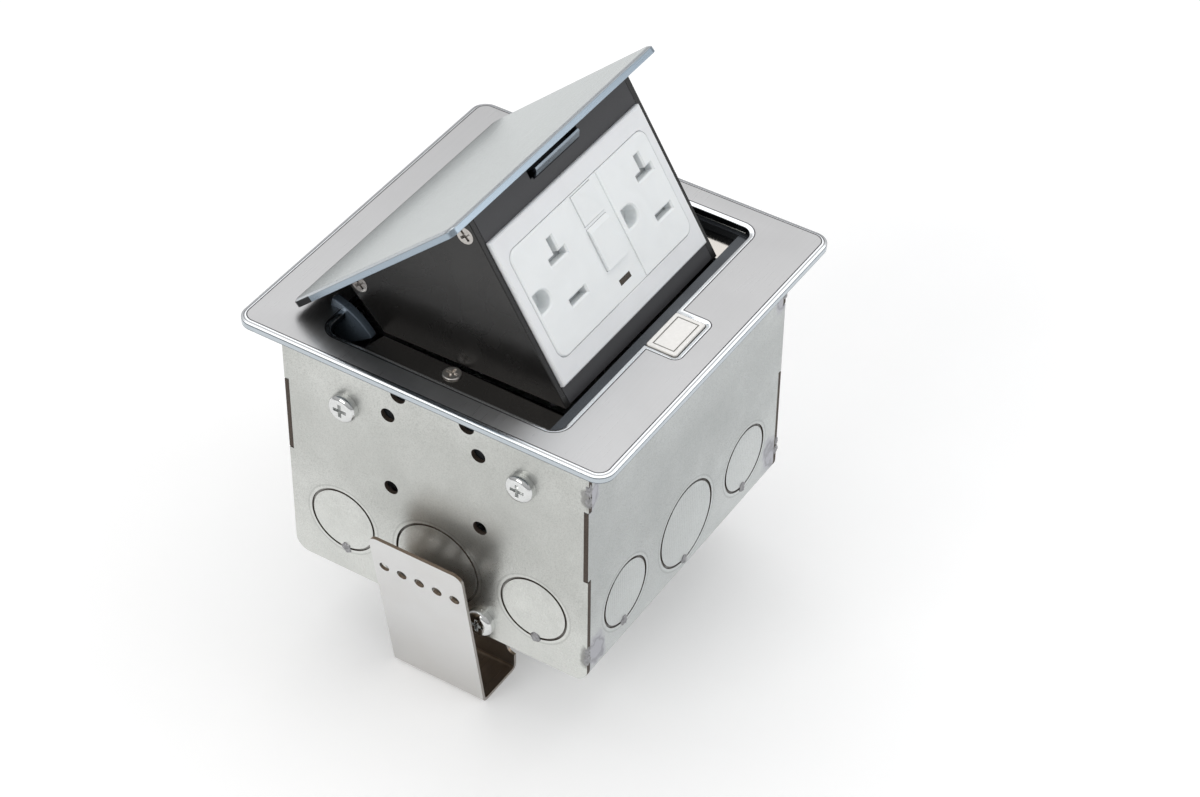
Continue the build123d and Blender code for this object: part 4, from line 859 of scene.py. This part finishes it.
def hinge_cheek(name, sign):
    """A slice of a ring round the hinge, against the outside of a side plate."""
    bpy.ops.object.select_all(action="DESELECT")
    middle = (sign * (CHEEK_INSIDE + CHEEK_OUTSIDE) / 2, HINGE_Y + (CHEEK_HUB + CHEEK_RIM) / 2, HINGE_Z)
    bpy.ops.mesh.primitive_plane_add(size=1, location=mm(*middle))
    cheek = bpy.context.object
    cheek.name = name
    cheek.scale = mm(CHEEK_OUTSIDE - CHEEK_INSIDE, CHEEK_RIM - CHEEK_HUB, 1000)
    bpy.ops.object.transform_apply(location=True, rotation=True, scale=True)
    hinge = mm(0, HINGE_Y, HINGE_Z)
    bpy.ops.object.mode_set(mode="EDIT")
    bpy.ops.mesh.select_all(action="SELECT")
    bpy.ops.transform.rotate(value=-radians(CHEEK_START), orient_axis="X", center_override=hinge)
    bpy.ops.mesh.spin(steps=11, angle=radians(CHEEK_SWEEP), center=hinge, axis=(-1, 0, 0))
    bpy.ops.mesh.select_all(action="SELECT")
    bpy.ops.mesh.remove_doubles(threshold=1e-6)
    bpy.ops.mesh.normals_make_consistent(inside=False)
    bpy.ops.object.mode_set(mode="OBJECT")
    edge = cheek.modifiers.new("soft edges", "BEVEL")
    edge.width = 0.0004
    edge.segments = 3
    bpy.ops.object.modifier_apply(modifier=edge.name)
    bpy.ops.object.shade_smooth_by_angle(angle=radians(35))
    cheek.data.materials.append(cheek_lacquer)
    return seat(cheek, "popup")


hinge_cheek("left_hinge_cheek", -1)
hinge_cheek("right_hinge_cheek", 1)
print("cheeks reach", CHEEK_RIM, "mm from the hinge")

# %% [markdown]
# The floor is a plain pale sheet, so wide that its edge shows only when the camera is low. A faint glow of
# its own keeps it white where the box shades it, as a lit table is in a studio.

# %% Floor
bpy.ops.object.select_all(action="DESELECT")
bpy.ops.mesh.primitive_plane_add(size=6.0, location=(0, 0, -0.0002))
floor = bpy.context.object
floor.name = "floor"
PAPER, PAPER_SHADE = (0.93, 0.93, 0.93), (0.91, 0.91, 0.91)
floor_paper, tree, shader, where = start_material("floor paper", PAPER, 0.0, 0.7)
fibres = noise(tree, where, 40.0, 3.0)
tree.links.new(mix_colours(tree, fibres, PAPER, PAPER_SHADE), shader.inputs["Base Color"])
shader.inputs["Emission Color"].default_value = (1, 1, 1, 1)
shader.inputs["Emission Strength"].default_value = 0.15
floor.data.materials.append(floor_paper)
print("floor", round(floor.dimensions.x, 1), "m wide")

# %% [markdown]
# Polished metal shows what stands round it, so the light is large and soft: a broad panel overhead, one
# to the left and a weaker one in front, and a pale sky that is brighter above than at the horizon.

# %% Lights
AIM = Vector((0, 0, 0.1))


def panel(name, place, size, power, colour=(1, 1, 1)):
    """A rectangular area light that faces the middle of the box."""
    light = bpy.data.lights.new(name, "AREA")
    light.shape = "RECTANGLE"
    light.size, light.size_y = size
    light.energy = power
    light.color = colour
    lamp = bpy.data.objects.new(name, light)
    bpy.context.scene.collection.objects.link(lamp)
    lamp.location = place
    lamp.rotation_euler = (AIM - Vector(place)).to_track_quat("-Z", "Y").to_euler()


panel("overhead panel", (0.4, 0.25, 1.3), (1.7, 1.7), 6.8)
panel("left panel", (-1.3, 0.3, 0.9), (0.8, 0.8), 6, (1.0, 0.985, 0.96))
panel("front panel", (0.7, -1.3, 0.7), (1.0, 0.8), 4, (0.96, 0.98, 1.0))
print("panels:", len(bpy.data.lights))

# %% [markdown]
# The sky is the rest of the room. A Color Ramp fades it from grey below the horizon to white overhead, so
# upright metal has something darker to mirror than level metal has.

# %% Pale sky
world = bpy.data.worlds.new("pale room")
bpy.context.scene.world = world
world.use_nodes = True
room = world.node_tree
background = room.nodes["Background"]
direction = room.nodes.new("ShaderNodeTexCoord").outputs["Generated"]
height = room.nodes.new("ShaderNodeSeparateXYZ")
room.links.new(direction, height.inputs[0])
fade = room.nodes.new("ShaderNodeValToRGB")
room.links.new(spread(room, height.outputs["Z"], -1.0, 1.0), fade.inputs[0])
fade.color_ramp.elements[0].position = 0.45
fade.color_ramp.elements[0].color = (0.48, 0.48, 0.49, 1)
fade.color_ramp.elements[1].position = 1.0
fade.color_ramp.elements[1].color = (1.0, 1.0, 1.0, 1)
middle = fade.color_ramp.elements.new(0.62)
middle.color = (0.75, 0.75, 0.76, 1)
room.links.new(fade.outputs[0], background.inputs["Color"])
background.inputs["Strength"].default_value = 0.68
print("sky strength", round(background.inputs["Strength"].default_value, 2))

# %% [markdown]
# The camera stands where the photograph was taken from. Its place and turn were solved from the corners
# of the flange, the case and the lid, so the render and the photograph can be laid over each other. The
# focal length came out in pixels of the photograph, and the sensor's width turns it into a lens.

# %% Camera
PHOTO_WIDTH, FOCAL_PIXELS = 1200, 3081.34
CAMERA_PLACE = mm(-552.39, -366.44, 546.43 + FLANGE_TOP)
turn = Matrix(((0.538211, -0.842748, 0.010236), (-0.557239, -0.364933, -0.745861),
               (0.632308, 0.395727, -0.666023)))
camera_data = bpy.data.cameras.new("camera")
camera_data.sensor_width = 36.0
camera_data.sensor_fit = "HORIZONTAL"
camera_data.lens = FOCAL_PIXELS * camera_data.sensor_width / PHOTO_WIDTH
camera_data.clip_start = 0.01
camera = bpy.data.objects.new("camera", camera_data)
bpy.context.scene.collection.objects.link(camera)
facing = turn.transposed() @ Matrix(((1, 0, 0), (0, -1, 0), (0, 0, -1)))
camera.matrix_world = Matrix.Translation(CAMERA_PLACE) @ facing.to_4x4()
bpy.context.scene.camera = camera
bpy.context.scene.view_settings.view_transform = "Standard"
print("lens", round(camera_data.lens, 2), "mm")
